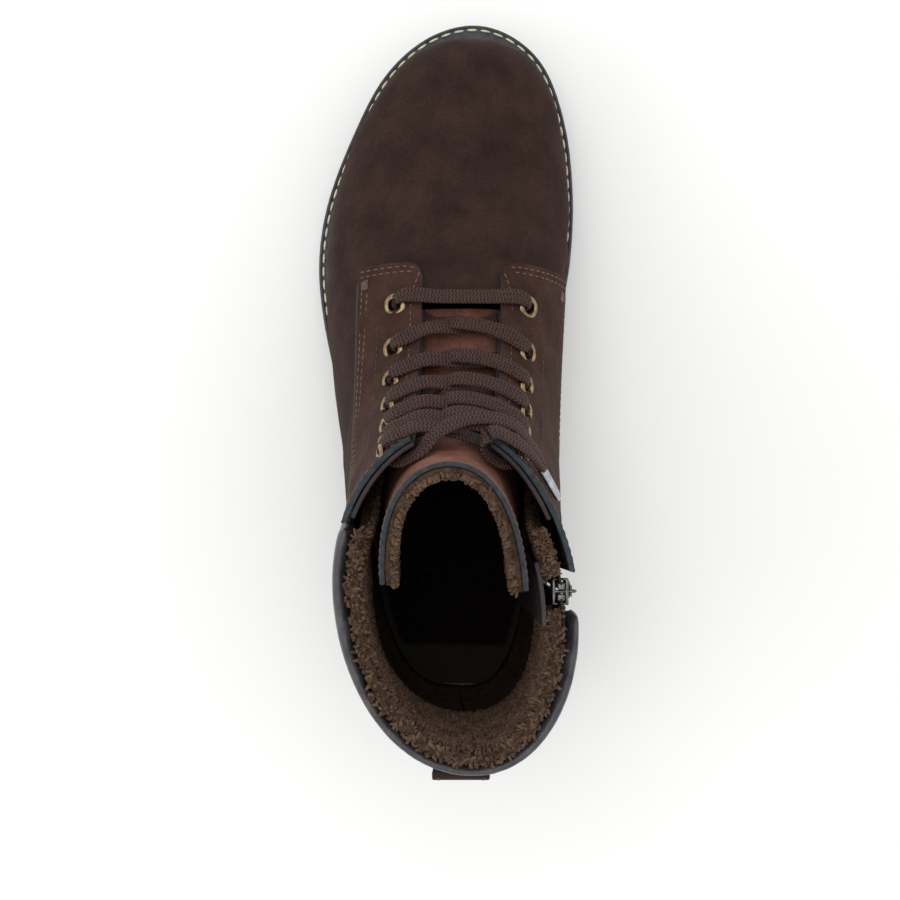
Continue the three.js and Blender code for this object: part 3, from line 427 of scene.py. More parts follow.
leathers = {
    "nubuck": {  # buffed grain side: matt, with a fine nap that lightens where it is brushed
        "dark": "#291b17", "middle": "#33241f", "light": "#3f2b25", "bloom": "#7d635b",
        "napDark": "#a89c98", "napLight": "#ffffff", "napShare": 0.55, "mottle": 16, "nap": 0.9,
        "hollow": 7, "hollowDepth": 0.0006, "grain": 0.55, "grainDepth": 0.00035,
        "roughness": 0.88, "sheen": 0.08},
    "quarterNubuck": {  # the flaps' hide is a tone lighter and redder
        "dark": "#33211b", "middle": "#3e2a23", "light": "#4b342b", "bloom": "#876a60",
        "napDark": "#a3958f", "napLight": "#ffffff", "napShare": 0.55, "mottle": 13, "nap": 0.9,
        "hollow": 6, "hollowDepth": 0.0006, "grain": 0.55, "grainDepth": 0.00035,
        "roughness": 0.88, "sheen": 0.08},
    "tongueNubuck": {  # thinner, lighter and redder than the vamp
        "dark": "#623d32", "middle": "#774f41", "light": "#8b6150", "bloom": "#a98273",
        "napDark": "#a8968e", "napLight": "#ffffff", "napShare": 0.5, "mottle": 10, "nap": 0.8,
        "hollow": 5, "hollowDepth": 0.0006, "grain": 0.5, "grainDepth": 0.0003,
        "roughness": 0.86, "sheen": 0.1},
    "collarLeather": {  # smooth full-grain leather with fine cells and a low wax gloss
        "dark": "#2a282b", "middle": "#3a373b", "light": "#514d51", "bloom": "#a49a98",
        "napDark": "#c2bab8", "napLight": "#ffffff", "napShare": 0.4, "mottle": 9, "nap": 1.2,
        "hollow": 3.4, "hollowDepth": 0.0009, "cell": 1.3, "grain": 0.4, "grainDepth": 0.0002,
        "roughness": 0.47, "sheen": 0.03, "coat": 0.12, "shine": 0.5},
    "facingLeather": {
        "dark": "#241b1a", "middle": "#31272a", "light": "#413637", "bloom": "#a49a98",
        "napDark": "#c2bab8", "napLight": "#ffffff", "napShare": 0.4, "mottle": 8, "nap": 1.0,
        "hollow": 4, "hollowDepth": 0.0004, "cell": 1.1, "grain": 0.35, "grainDepth": 0.0002,
        "roughness": 0.55, "sheen": 0.03, "shine": 0.4},
}
finish = {name: leatherFinish(name, look) for name, look in leathers.items()}


def speckFinish(name, look):
    # any finish of one mottled tone with one bump
    material, tree, shader = startMaterial(
        name, look["roughness"], Metallic=look.get("metallic", 0.0), Sheen_Weight=look.get("sheen", 0.0),
        Sheen_Roughness=0.5, Sheen_Tint=srgb(look.get("bloom", "#ffffff")),
        Specular_IOR_Level=look.get("shine", 0.5))
    spot = addNode(tree, "TexCoord").outputs["Object"]
    speck = addNode(tree, "TexNoise", {
        "Vector": spot, "Scale": perMetre(look["speck"]), "Detail": look.get("detail", 4.0),
        "Roughness": 0.65})
    tones = addNode(tree, "ValToRGB", {"Fac": speck.outputs["Fac"]}, stops=[
        (0.32, look["dark"]), (0.68, look["light"])])
    tree.links.new(tones.outputs["Color"], shader.inputs["Base Color"])
    if look.get("wear"):
        gloss = addNode(tree, "MapRange", {
            "Value": speck.outputs["Fac"], "To Min": look["roughness"] - look["wear"],
            "To Max": look["roughness"] + look["wear"]})
        tree.links.new(gloss.outputs["Result"], shader.inputs["Roughness"])
    fine = addNode(tree, "TexNoise", {"Vector": spot, "Scale": perMetre(look["fine"]), "Detail": 2.0})
    addBump(tree, shader, fine.outputs["Fac"], look["bump"], look["depth"])
    return material


specks = {
    "sherpaPlush": {  # curled polyester pile: no gloss, light tips
        "dark": "#392a20", "light": "#6c5544", "speck": 4.2, "fine": 0.7, "bump": 0.6, "depth": 0.0005,
        "roughness": 0.95, "sheen": 0.25, "bloom": "#7d6a5e", "shine": 0.15},
    # knitGroundPaintedShade is the knitted ground darkened to near black: painted shade for the lining deep
    # in the boot; knitGround below is the same ground at its own colour
    "knitGroundPaintedShade": {  # the knitted ground the pile stands in, in shade
        "dark": "#0e0a08", "light": "#1e1612", "speck": 3.0, "fine": 0.9, "bump": 0.9, "depth": 0.0012,
        "roughness": 1.0, "shine": 0.05},
    "knitGround": {  # the same ground where daylight reaches it
        "dark": "#2d2118", "light": "#503e31", "speck": 3.0, "fine": 0.9, "bump": 0.9, "depth": 0.0012,
        "roughness": 1.0, "shine": 0.1},
    "dyedEdge": {  # cut leather edge sealed with blue-black edge ink
        "dark": "#182024", "light": "#2f3d44", "speck": 2.4, "fine": 0.6, "bump": 0.5, "depth": 0.0002,
        "roughness": 0.66, "shine": 0.3},
    "blackEdge": {
        "dark": "#121414", "light": "#25302f", "speck": 4.0, "fine": 0.6, "bump": 0.5, "depth": 0.0002,
        "roughness": 0.6},
    "creamThread": {  # twisted waxed polyester, catches light on its round top
        "dark": "#b3a88a", "light": "#e2dac0", "speck": 2.0, "fine": 0.5, "bump": 0.8, "depth": 0.0002,
        "roughness": 0.6},
    "darkThread": {
        "dark": "#1d1614", "light": "#3a2e2a", "speck": 2.0, "fine": 0.5, "bump": 0.8, "depth": 0.0002,
        "roughness": 0.55},
    "brownThread": {
        "dark": "#4b3a33", "light": "#6e584d", "speck": 2.0, "fine": 0.5, "bump": 0.8, "depth": 0.0002,
        "roughness": 0.55},
    "antiqueBrass": {  # oxide left in the hollows, rubbed bright on the rims
        "dark": "#65523a", "light": "#ad9672", "speck": 2.6, "fine": 0.8, "bump": 0.2, "depth": 0.0001,
        "roughness": 0.36, "wear": 0.14, "metallic": 1.0},
    "gunmetal": {  # blackened nickel plate over zinc
        "dark": "#4b4a49", "light": "#7d7b79", "speck": 3.0, "fine": 0.7, "bump": 0.15, "depth": 0.0001,
        "roughness": 0.38, "wear": 0.1, "metallic": 1.0},
    "nickelPlate": {
        "dark": "#8b8f94", "light": "#c4c8cb", "speck": 3.0, "fine": 0.7, "bump": 0.12, "depth": 0.0001,
        "roughness": 0.33, "wear": 0.1, "metallic": 1.0},
    "springSteel": {
        "dark": "#6f7478", "light": "#9aa0a4", "speck": 6.0, "fine": 0.5, "bump": 0.2, "depth": 0.0001,
        "roughness": 0.35, "wear": 0.08, "metallic": 1.0},
    "soleRubber": {  # carbon-black rubber out of a blasted mould: dry, faintly chalky
        "dark": "#1c1e20", "light": "#303335", "speck": 9.0, "fine": 0.6, "bump": 0.45, "depth": 0.00025,
        "roughness": 0.72, "wear": 0.08},
    "weltRubber": {
        "dark": "#27292b", "light": "#404244", "speck": 6.0, "fine": 0.7, "bump": 0.5, "depth": 0.0003,
        "roughness": 0.62, "wear": 0.08},
    "midsoleRubber": {
        "dark": "#222426", "light": "#373a3c", "speck": 7.0, "fine": 1.0, "bump": 0.6, "depth": 0.0004,
        "roughness": 0.8},
    "groundCork": {
        "dark": "#6d5134", "light": "#c09a6c", "speck": 2.4, "fine": 1.4, "bump": 0.7, "depth": 0.0005,
        "roughness": 0.92},
    # the fibre board is darkened to near black: painted shade for the deep inside of the boot
    "fibreBoardPaintedShade": {
        "dark": "#14100d", "light": "#201914", "speck": 1.6, "fine": 0.6, "bump": 0.4, "depth": 0.0002,
        "roughness": 0.9},
    "stiffenerFelt": {
        "dark": "#6e604f", "light": "#95866f", "speck": 1.8, "fine": 0.6, "bump": 0.5, "depth": 0.0002,
        "roughness": 0.85},
}
finish.update({name: speckFinish(name, look) for name, look in specks.items()})


def wovenFinish(name, look):
    # threads run across and along the piece's own UV map; slant turns the weave into a braid
    material, tree, shader = startMaterial(
        name, look["roughness"], Sheen_Weight=look["sheen"], Sheen_Roughness=0.4,
        Sheen_Tint=srgb(look["bloom"]), Specular_IOR_Level=look["shine"])
    place = addNode(tree, "TexCoord").outputs["UV"]
    parts = addNode(tree, "SeparateXYZ", {"Vector": place})
    across, along = parts.outputs["X"], parts.outputs["Y"]
    folded = addNode(tree, "Math", {0: across, 1: look["ribs"]}, operation="MULTIPLY").outputs[0]
    zigzag = addNode(tree, "Math", {0: folded, 1: 1.0}, operation="PINGPONG").outputs[0]
    slanted = addNode(tree, "Math", {0: zigzag, 1: look["slant"], 2: along},
                      operation="MULTIPLY_ADD").outputs[0]
    perPitch = 2 * math.pi / look["pitch"]
    turns = addNode(tree, "Math", {0: slanted, 1: perPitch}, operation="MULTIPLY").outputs[0]
    wave = addNode(tree, "Math", {0: turns}, operation="SINE").outputs[0]
    ridge = addNode(tree, "MapRange", {"Value": wave, "From Min": -1.0}).outputs["Result"]
    spot = addNode(tree, "TexCoord").outputs["Object"]
    fuzz = addNode(tree, "TexNoise", {"Vector": spot, "Scale": perMetre(1.1), "Detail": 4.0})
    # the colour follows the ridge height as well as random fuzz: painted shade in the grooves between yarns
    # and painted highlight on the yarn tops, over the yarns' own uneven tone
    paintedRidgeLightAndFuzz = addNode(tree, "Math", {0: ridge, 1: 0.6, 2: fuzz.outputs["Fac"]},
                    operation="MULTIPLY_ADD").outputs[0]
    tones = addNode(tree, "ValToRGB", {"Fac": paintedRidgeLightAndFuzz}, stops=[
        (0.3, look["dark"]), (0.62, look["middle"]), (0.95, look["light"])])
    tree.links.new(tones.outputs["Color"], shader.inputs["Base Color"])
    addBump(tree, shader, ridge, look["bump"], look["depth"])
    return material


# each weave's dark, middle and light tones are laid along its ridges: painted shade in the grooves and
# painted highlight on the yarn tops
weaves = {
    "laceBraid": {  # flat tubular polyester braid: yarns meet in a herringbone, pitch in mm
        "dark": "#100908", "middle": "#281814", "light": "#4a322b", "bloom": "#8f726b", "ribs": 6.0,
        "slant": 0.75, "pitch": 1.35, "bump": 0.9, "depth": 0.0006, "roughness": 0.62, "sheen": 0.07,
        "shine": 0.25},
    "zipTape": {  # herringbone polyester tape
        "dark": "#0d0b0b", "middle": "#1c1817", "light": "#312b29", "bloom": "#6d6461", "ribs": 6.0,
        "slant": 1.0, "pitch": 1.2, "bump": 0.6, "depth": 0.0003, "roughness": 0.8, "sheen": 0.1,
        "shine": 0.3},
}
finish.update({name: wovenFinish(name, look) for name, look in weaves.items()})
print("finishes ready")


merge = {"net": 2e-5, "spun": 2e-6, "tip": 5e-6}       # how close two points are joined, m


def makePiece(name, form, finishes, nodes=(), body="boot"):
    mesh = bpy.data.meshes.new(name)
    form.to_mesh(mesh)
    form.free()
    for each in finishes:
        mesh.materials.append(finish[each])
    mesh.shade_smooth()
    piece = bpy.data.objects.new(name, mesh)
    scene.collection.objects.link(piece)
    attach(piece, body)
    if nodes:
        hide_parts(*nodes)
    return piece


def addModifier(piece, kind, **settings):
    modifier = piece.modifiers.new(kind.title(), kind)
    for key, value in settings.items():
        setattr(modifier, key, value)
    return modifier


def softenEdges(piece, width):
    addModifier(piece, "BEVEL", width=width / 1000, segments=2, limit_method="ANGLE",
                angle_limit=math.radians(50))


def flip(vectors):
    # a direction of the last in scene directions
    return np.asarray(vectors) * np.array([-1.0, -1.0, 1.0])


def gridForm(rows, columns):
    # a flat net, with each point's shares of its height and its width
    form = bmesh.new()
    form.loops.layers.uv.new("UVMap")
    bmesh.ops.create_grid(form, x_segments=columns, y_segments=rows, size=0.5, calc_uvs=True)
    flat = np.array([vert.co[:] for vert in form.verts])
    return form, flat[:, 1] + 0.5, flat[:, 0] + 0.5


def moveVerts(form, places):
    for vert, place in zip(form.verts, places.tolist()):
        vert.co = place


def mapPiece(form, across, along):
    # the piece's own UV map: across it from 0 to 1, and mm along it
    uv = form.loops.layers.uv.active
    for face in form.faces:
        for ring in face.loops:
            ring[uv].uv = (across[ring.vert.index], along[ring.vert.index])


def unevenness(points, size, seed=0.0):
    # smooth random heights, -1 to 1, over points in mm
    shift = Vector((seed, seed * 1.7, seed * 2.3))
    return np.array([mathNoise.noise(Vector(p) / size + shift) for p in points.tolist()])


def panelForm(rows, columns, at, offset, keep=None, relief=None):
    # a net laid on the last: at gives each point's place, offset its height in mm, keep which faces stay
    form, u, v = gridForm(rows, columns)
    t, turn = at(u, v)
    depth = offset(t, turn) if callable(offset) else np.full(len(u), float(offset))
    points = offSkin(t, turn, depth)
    facing = flip(skinNormal(t, turn))
    if relief:
        points = points + skinNormal(t, turn) * relief(points, u, v)[:, None]
    drop = []
    if keep:
        centres = [(face, face.calc_center_median()) for face in form.faces]
        drop = [face for face, centre in centres if not keep(centre.y + 0.5, centre.x + 0.5)]
    moveVerts(form, toWorld(points))
    form.normal_update()
    outward = sum(vert.normal.dot(Vector(way)) for vert, way in zip(form.verts, facing.tolist()))
    if drop:
        bmesh.ops.delete(form, geom=drop, context="FACES")
    if outward < 0:
        bmesh.ops.reverse_faces(form, faces=form.faces)
    bmesh.ops.remove_doubles(form, verts=form.verts, dist=merge["net"])
    return form


def leatherPanel(name, form, leather, edge, node):
    piece = makePiece(name, form, [leather, edge], [node])
    addModifier(piece, "SOLIDIFY", thickness=upper["leather"] / 1000, offset=-1, material_offset_rim=1)
    softenEdges(piece, upper["edgeRound"])


def stamp(form, template, places):
    # copies of one small shape, each set in its own place
    for place in places:
        template.transform(place)
        form.from_mesh(template)
        template.transform(place.inverted())


def roundTemplate(length, width, height, around=6, levels=4):
    form = bmesh.new()
    bmesh.ops.create_uvsphere(form, u_segments=around, v_segments=levels, radius=0.5)
    bmesh.ops.rotate(form, verts=form.verts, matrix=Matrix.Rotation(math.pi / 2, 3, "Y"))
    bmesh.ops.scale(form, verts=form.verts, vec=(length / 1000, width / 1000, height / 1000))
    mesh = bpy.data.meshes.new("template")
    form.to_mesh(mesh)
    form.free()
    return mesh


def frameAt(place, along, normal):
    x = Vector(along).normalized()
    z = Vector(normal)
    z = (z - x * z.dot(x)).normalized()
    y = z.cross(x)
    matrix = Matrix((x, y, z)).transposed().to_4x4()
    matrix.translation = Vector(place)
    return matrix


def spaced(points, pitch):
    # places at even steps along a path in metres, with how far along they and the path's own points lie
    steps = np.linalg.norm(np.diff(points, axis=0), axis=1)
    along = np.concatenate([[0], np.cumsum(steps)])
    count = max(1, int(along[-1] / pitch))
    marks = (np.arange(count) + 0.5) * along[-1] / count
    return np.stack([np.interp(marks, along, points[:, k]) for k in range(3)], axis=1), marks, along


seam = {"pitch": 2.9, "length": 2.2, "width": 0.62, "height": 0.5, "lift": -0.05, "jitter": 0.0}


def stitchRow(name, rows, thread, slotName, **changes):
    # each row is its points in m and the way the leather faces there; changes are to the usual stitch
    stitch = {**seam, **changes}
    form = bmesh.new()
    template = roundTemplate(stitch["length"], stitch["width"], stitch["height"])
    for points, normals in rows:
        centres, marks, along = spaced(points, stitch["pitch"] / 1000)
        faces = np.stack([np.interp(marks, along, normals[:, k]) for k in range(3)], axis=1)
        ahead = np.gradient(centres, axis=0)
        places = []
        for centre, direction, normal in zip(centres, ahead, faces):
            way = Vector(direction)
            if stitch["jitter"]:
                skew = random.uniform(-stitch["jitter"], stitch["jitter"])
                way.rotate(Matrix.Rotation(skew, 3, Vector(normal)))
            places.append(frameAt(centre, way, normal))
        stamp(form, template, places)
    bpy.data.meshes.remove(template)
    makePiece(name, form, [thread], ())


def skinPath(t, turn, offset):
    t, turn = np.broadcast_arrays(np.asarray(t, float), np.asarray(turn, float))
    return toWorld(offSkin(t, turn, np.full(t.shape, float(offset)))), flip(skinNormal(t, turn))


# the upper: thicknesses, heights and seam places in mm, stations and turns as on the last
upper = {
    "leather": 1.8, "edgeRound": 0.45, "flapTop": 2.3, "frontStation": 6.45, "throatBase": 6.95,
    "outerSideSeam": 62.0, "innerSideSeam": 70.0, "heelSeat": 34.0, "collarBottom": 133.0, "gap": 0.3,
    "liningDepth": 4.2, "backGap": 0.008, "creaseSize": 15.0, "crease": 0.55, "pebbleSize": 4.5,
    "pebble": 0.14, "mostRelief": 0.35, "calmEdge": 0.08,
}
# eyelets count up from the toe: stations, and mm beside the ridge
eyelet = {"rows": 7, "first": 7.12, "step": 0.98, "spacing": 25.0, "taper": 3.0, "bore": 2.5, "flange": 4.8}


def hideHeights(points, seed):
    # soft creases and a fine pebble
    creases = upper["crease"] * unevenness(points, upper["creaseSize"], seed)
    return creases + upper["pebble"] * unevenness(points, upper["pebbleSize"], seed + 5)


def leatherRelief(seed, edgeDip=0.0):
    def relief(points, u, v):
        edge = np.minimum(np.minimum(u, 1 - u), np.minimum(v, 1 - v))
        calm = smoothStep(edge / upper["calmEdge"])
        return np.minimum(hideHeights(points, seed), upper["mostRelief"]) * calm - edgeDip * (1 - calm)
    return relief


# the vamp's net: its body runs to the throat, and its wings go on back between the two inner columns
# and the two outer ones; flex is the creasing over the ball of the foot, in mm
vamp = {
    "rows": 19, "columns": 26, "bodyRows": 11, "innerColumn": 5, "outerColumn": 18, "finer": 4,
    "footUpTo": 10.7, "flexPlace": 196, "flexWidth": 16, "flexPitch": 2.6, "flex": 0.5, "mostRelief": 0.45,
}


def wingFoot(t, side):
    # past the wings' rear corners the lower edge keeps its turn, so the leather stays even
    return featherTurn[side](np.minimum(t, vamp["footUpTo"]))


def wingTop(t):
    return outerSeamTurn(np.maximum(t, 5)) + 0.1


def innerWingTop(t):
    return wingHeightTurn(np.maximum(t, 5))


def vampAt(u, v):
    i, j = u * vamp["rows"], v * vamp["columns"]
    innerColumn, outerColumn = vamp["innerColumn"], vamp["outerColumn"]
    inWing = j <= innerColumn + 0.001

    def turnOf(t):
        inner = mix(wingFoot(t, 1), innerWingTop(t), j / innerColumn)
        middle = mix(innerWingTop(t), wingTop(t), (j - innerColumn) / (outerColumn - innerColumn))
        outer = mix(wingTop(t), wingFoot(t, -1), (j - outerColumn) / (vamp["columns"] - outerColumn))
        return np.where(inWing, inner, np.where(j <= outerColumn, middle, outer))

    body = upper["throatBase"] * np.minimum(i / vamp["bodyRows"], 1) ** 0.9
    seamPlace = np.where(inWing, upper["innerSideSeam"], upper["outerSideSeam"])
    end = np.minimum(stationAtHeight(turnOf, rearTop, u), stationAtPlace(turnOf, seamPlace, u))
    wings = mix(upper["throatBase"], end, (i - vamp["bodyRows"]) / (vamp["rows"] - vamp["bodyRows"]))
    t = np.where(i > vamp["bodyRows"], wings, body)
    return t, turnOf(t)


def vampKeep(u, v):
    column = v * vamp["columns"]
    return u * vamp["rows"] < vamp["bodyRows"] or not vamp["innerColumn"] <= column <= vamp["outerColumn"]


def vampRelief(points, u, v):
    flex = vamp["flex"] * np.exp(-((points[:, 1] - vamp["flexPlace"]) / vamp["flexWidth"]) ** 2)
    folds = np.sin(points[:, 1] / vamp["flexPitch"] + 1.6 * unevenness(points, 20.0, 9))
    rise = hideHeights(points, 1) + flex * folds
    return np.minimum(rise, vamp["mostRelief"]) * smoothStep((points[:, 2] - featherZ(points[:, 1])) / 8)


rearTop = upper["collarBottom"] - upper["gap"]
form = panelForm(vamp["rows"] * vamp["finer"], vamp["columns"] * vamp["finer"], vampAt, 0.0, vampKeep,
                 vampRelief)
leatherPanel("vampLeather", form, "nubuck", "blackEdge", "vamp")


def eyeletPlace(row, side):
    t = eyelet["first"] + eyelet["step"] * row
    spacing = eyelet["spacing"] - eyelet["taper"] * row / (eyelet["rows"] - 1)
    return t, float(turnBeside(np.array(t), side, spacing)), spacing


eyeletSpots = {side: [eyeletPlace(row, side) for row in range(eyelet["rows"])] for side in (-1, 1)}


def punched(form, side, radius):
    # the leather is open inside each eyelet
    drop = []
    for t, turn, _ in eyeletSpots[side]:
        centre = Vector(toWorld(offSkin(t, turn, 1.0)))
        drop += [face for face in form.faces if (face.calc_center_median() - centre).length < radius / 1000]
    bmesh.ops.delete(form, geom=list(set(drop)), context="FACES")


# the lace flaps, their front corners cut round, and the facings behind them, mm
flap = {
    "corner": 7.0, "cornerStation": 6.5, "stationLength": 29.0, "cornerShare": 0.12, "rows": 110,
    "outerColumns": 26, "innerColumns": 44, "hole": 3.4, "edgeDip": 0.15, "facingWidth": 19, "facingRows": 90,
    "facingColumns": 12,
    "facingHole": 3.0,
}


def roundedFlap(edgeA, edgeB):
    plain = flapAt(upper["frontStation"], edgeA, edgeB, last["toplineHeight"])
    front, radius = flap["cornerStation"], flap["corner"]
    wide = float(np.linalg.norm(skin(front, edgeA(front)) - skin(front, edgeB(front))))

    def at(u, v):
        t, _ = plain(u, v)
        fromEdge = np.minimum(v * wide, radius)
        cutBack = radius - np.sqrt(np.maximum(radius ** 2 - (radius - fromEdge) ** 2, 0))
        t = t + cutBack / flap["stationLength"] * (1 - np.minimum(u / flap["cornerShare"], 1)) ** 2
        return t, mix(edgeA(t), edgeB(t), v)
    return at


flapAts = {-1: roundedFlap(throatTurn[-1], outerSeamTurn), 1: roundedFlap(throatTurn[1], innerEdgeTurn)}
for side, label in ((-1, "outer"), (1, "inner")):
    relief = leatherRelief(3.0 + side, flap["edgeDip"])
    form = panelForm(flap["rows"], flap[label + "Columns"], flapAts[side], upper["flapTop"], relief=relief)
    punched(form, side, flap["hole"])
    leatherPanel(label + "LaceFlap", form, "quarterNubuck", "dyedEdge", label + "_lace_flap")


def behindThroat(side, width):
    return tabulated(lambda t: turnBeside(t, side, last["throatHalf"] + width))


for side, label in ((-1, "outer"), (1, "inner")):
    at = flapAt(upper["throatBase"] + 0.3, throatTurn[side], behindThroat(side, flap["facingWidth"]),
                last["toplineHeight"] - 1)
    form = panelForm(flap["facingRows"], flap["facingColumns"], at, 0.0)
    punched(form, side, flap["facingHole"])
    leatherPanel(label + "LaceFacing", form, "facingLeather", "facingLeather", label + "_lace_facing")

# rear quarters from the side seams to the back, and the backstay over their seam: turns in radians
rear = {
    "net": 44, "zipCutFrom": 46, "zipCutOver": 10, "backstayRows": 50, "backstayColumns": 16,
    "backstayTop": 2.4,
    "backstayWide": 0.3, "backstayNarrow": 0.2, "narrowsFrom": 60, "narrowsOver": 60, "edgeDip": 0.1,
}
outerRearTurn = turnAtPlace(lambda z: np.full(np.shape(z), upper["outerSideSeam"] - upper["gap"]), -1)
zipRearTurn = turnAtPlace(lambda z: zipS(z) - last["zipGap"], 1)


def innerRearEdge(z):
    # straight up from the sole, then along the zip
    besideZip = smoothStep((z - rear["zipCutFrom"]) / rear["zipCutOver"])
    return mix(upper["innerSideSeam"] - upper["gap"], zipS(z) - last["zipGap"], besideZip)


innerRearTurn = turnAtPlace(innerRearEdge, 1)


def backstayReach(z):
    narrow = smoothStep((z - rear["narrowsFrom"]) / rear["narrowsOver"])
    return mix(rear["backstayWide"], rear["backstayNarrow"], narrow)


def toTheBack(frontTurn, side):
    # from a front edge round to the seam over the heel
    return lambda z, v: mix(frontTurn(z), side * (math.pi - upper["backGap"]), v)


for side, label, front in ((-1, "outer", outerRearTurn), (1, "inner", innerRearTurn)):
    at = uprightAt(toTheBack(front, side), upper["heelSeat"], rearTop)
    form = panelForm(rear["net"], rear["net"], at, 0.0, relief=leatherRelief(8.5 + side * 0.5))
    leatherPanel(label + "RearQuarter", form, "nubuck", "blackEdge", label + "_rear_quarter")

at = uprightAt(lambda z, v: math.pi + mix(-backstayReach(z), backstayReach(z), v), upper["heelSeat"] + 2,
               upper["collarBottom"] - 2)
form = panelForm(rear["backstayRows"], rear["backstayColumns"], at, rear["backstayTop"],
                 relief=leatherRelief(12.0, rear["edgeDip"]))
leatherPanel("backstayLeather", form, "quarterNubuck", "dyedEdge", "backstay")
print("leather panels ready")

# the tongue, in mm: its sides wrap round under the flaps, and its top is an arch
tongue = {
    "depth": 5.6, "height": 184.0, "drop": 17.0, "wing": 8, "wrap": 1.42, "wrapFrom": 8.5, "wrapOver": 5,
    "sink": 9,
    "sinkFrom": 8, "sinkOver": 3, "rows": 110, "columns": 48, "liningRows": 60, "liningColumns": 40,
    "liningBelow": 2.1, "liningPadding": 2.6, "pileBelow": 3.9,
}


def tongueEdge(t):
    wrapped = smoothStep((t - tongue["wrapFrom"]) / tongue["wrapOver"])
    return mix(turnBeside(t, 1, last["throatHalf"] + tongue["wing"]), tongue["wrap"], wrapped)


tongueSide = tabulated(tongueEdge)


def tongueAt(u, v):
    side = 2 * v - 1

    def turnOf(t):
        return side * tongueSide(t)
    height = mix(tongue["height"], tongue["height"] - tongue["drop"], side * side)
    t = mix(upper["throatBase"] + 0.12, stationAtHeight(turnOf, height, v), u)
    return t, turnOf(t)


def tongueOffset(t, turn, below=0.0):
    # how far inside the last the tongue lies, deeper at its sides
    sink = smoothStep((t - tongue["sinkFrom"]) / tongue["sinkOver"])
    return -tongue["depth"] - tongue["sink"] * np.sin(turn) ** 2 * sink - below


form = panelForm(tongue["rows"], tongue["columns"], tongueAt, tongueOffset, relief=leatherRelief(15.0))
leatherPanel("tongueLeather", form, "tongueNubuck", "dyedEdge", "tongue")

# plush: a padded ground, and curled pile on it; sizes in mm, lean as a share of a lock's length
pile = {
    "length": 1.9, "width": 1.5, "lean": 0.55, "padding": 3.2, "rim": 3.6, "rimFrom": 0.955, "smallest": 0.75,
    "largest": 1.25, "sink": 0.4, "frontFrom": 0.55, "rearFrom": 0.5, "tongueFrom": 0.68, "tongueLocks": 8200,
}


def tuftTemplate():
    # one curled lock: a short cone bent over at its tip
    form = bmesh.new()
    bmesh.ops.create_cone(form, cap_ends=True, segments=4, radius1=0.5, radius2=0.32, depth=1.0)
    bmesh.ops.translate(form, verts=form.verts, vec=(0, 0, 0.5))
    top = [face for face in form.faces if face.normal.z > 0.9]
    grown = bmesh.ops.extrude_face_region(form, geom=top)
    tip = [item for item in grown["geom"] if isinstance(item, bmesh.types.BMVert)]
    bmesh.ops.delete(form, geom=top, context="FACES_ONLY")
    bmesh.ops.translate(form, verts=tip, vec=(0.3, 0.05, 0.18))
    bmesh.ops.scale(form, verts=tip, vec=(0.6, 0.6, 1.0))
    bmesh.ops.recalc_face_normals(form, faces=form.faces)
    mesh = bpy.data.meshes.new("tuft")
    form.to_mesh(mesh)
    form.free()
    return mesh


def growPile(name, at, depth, count, fromU, rim=pile["rim"]):
    # locks scattered over a panel from a share of its height up, and over its top edge
    rng = np.random.default_rng(len(name) * 7 + count)
    u = fromU + (1 - fromU) * rng.random(count)
    v = rng.random(count)
    t, turn = at(u, v)
    overEdge = smoothStep((u - pile["rimFrom"]) / 0.03) * rng.random(count) * rim
    roots = offSkin(t, turn, overEdge + (depth(t, turn) if callable(depth) else float(depth)))
    normals = -skinNormal(t, turn)
    places = []
    for root, normal, over in zip(toWorld(roots), flip(normals), overEdge):
        up = Vector(normal) * max(0.15, 1 - over / 1.5)
        up += Vector(rng.normal(0, pile["lean"], 3)) + Vector((0, 0, 0.3))
        size = rng.uniform(pile["smallest"], pile["largest"]) / 1000
        across = Vector(rng.normal(0, 1, 3))
        lock = Matrix.Diagonal((pile["width"] * size, pile["width"] * size, pile["length"] * size, 1))
        places.append(frameAt(root, across.cross(up), up) @ lock)
    form = bmesh.new()
    template = tuftTemplate()
    stamp(form, template, places)
    bpy.data.meshes.remove(template)
    makePiece(name, form, ["sherpaPlush"], ())


def plushPanel(name, node, at, rows, columns, ground="knitGround"):
    form = panelForm(rows, columns, at, -upper["liningDepth"])
    piece = makePiece(name, form, [ground], [node])
    addModifier(piece, "SOLIDIFY", thickness=pile["padding"] / 1000, offset=-1)


def outerSideTurn(t):
    return -crossing(lambda b: skin(t, -b)[..., 1] - upper["outerSideSeam"], 0.2, math.pi, t)


def vampLiningAt(u, v):
    t = mix(1.7, upper["throatBase"] - 0.05, u)
    return t, mix(liningFootTurn[1](t), liningFootTurn[-1](t), v)


# the lining's panels: each with its net and the number of its locks
outerSide = tabulated(outerSideTurn)
outerRearLiningTurn = turnAtPlace(lambda z: np.full(np.shape(z), upper["outerSideSeam"] - 1), -1)
liningTop = last["toplineHeight"] - 1
liningFoot = upper["heelSeat"] + last["liningFoot"]
liningFront = {side: behindThroat(side, 20) for side in (-1, 1)}
linings = {
    "outerFront": {"net": (40, 20), "locks": 7000, "from": pile["frontFrom"], "at": flapAt(
        upper["throatBase"], liningFront[-1],
        lambda t: np.maximum(liningFootTurn[-1](t), outerSide(t)), liningTop)},
    "innerFront": {"net": (40, 20), "locks": 5600, "from": pile["frontFrom"], "at": flapAt(
        upper["throatBase"], liningFront[1],
        lambda t: np.minimum(liningFootTurn[1](t), zipTurn(t)), liningTop)},
    "outerRear": {"net": (36, 36), "locks": 9200, "from": pile["rearFrom"], "at": uprightAt(
        toTheBack(outerRearLiningTurn, -1), liningFoot, liningTop)},
    "innerRear": {"net": (36, 36), "locks": 9200, "from": pile["rearFrom"], "at": uprightAt(
        toTheBack(zipRearTurn, 1), liningFoot, liningTop)},
}
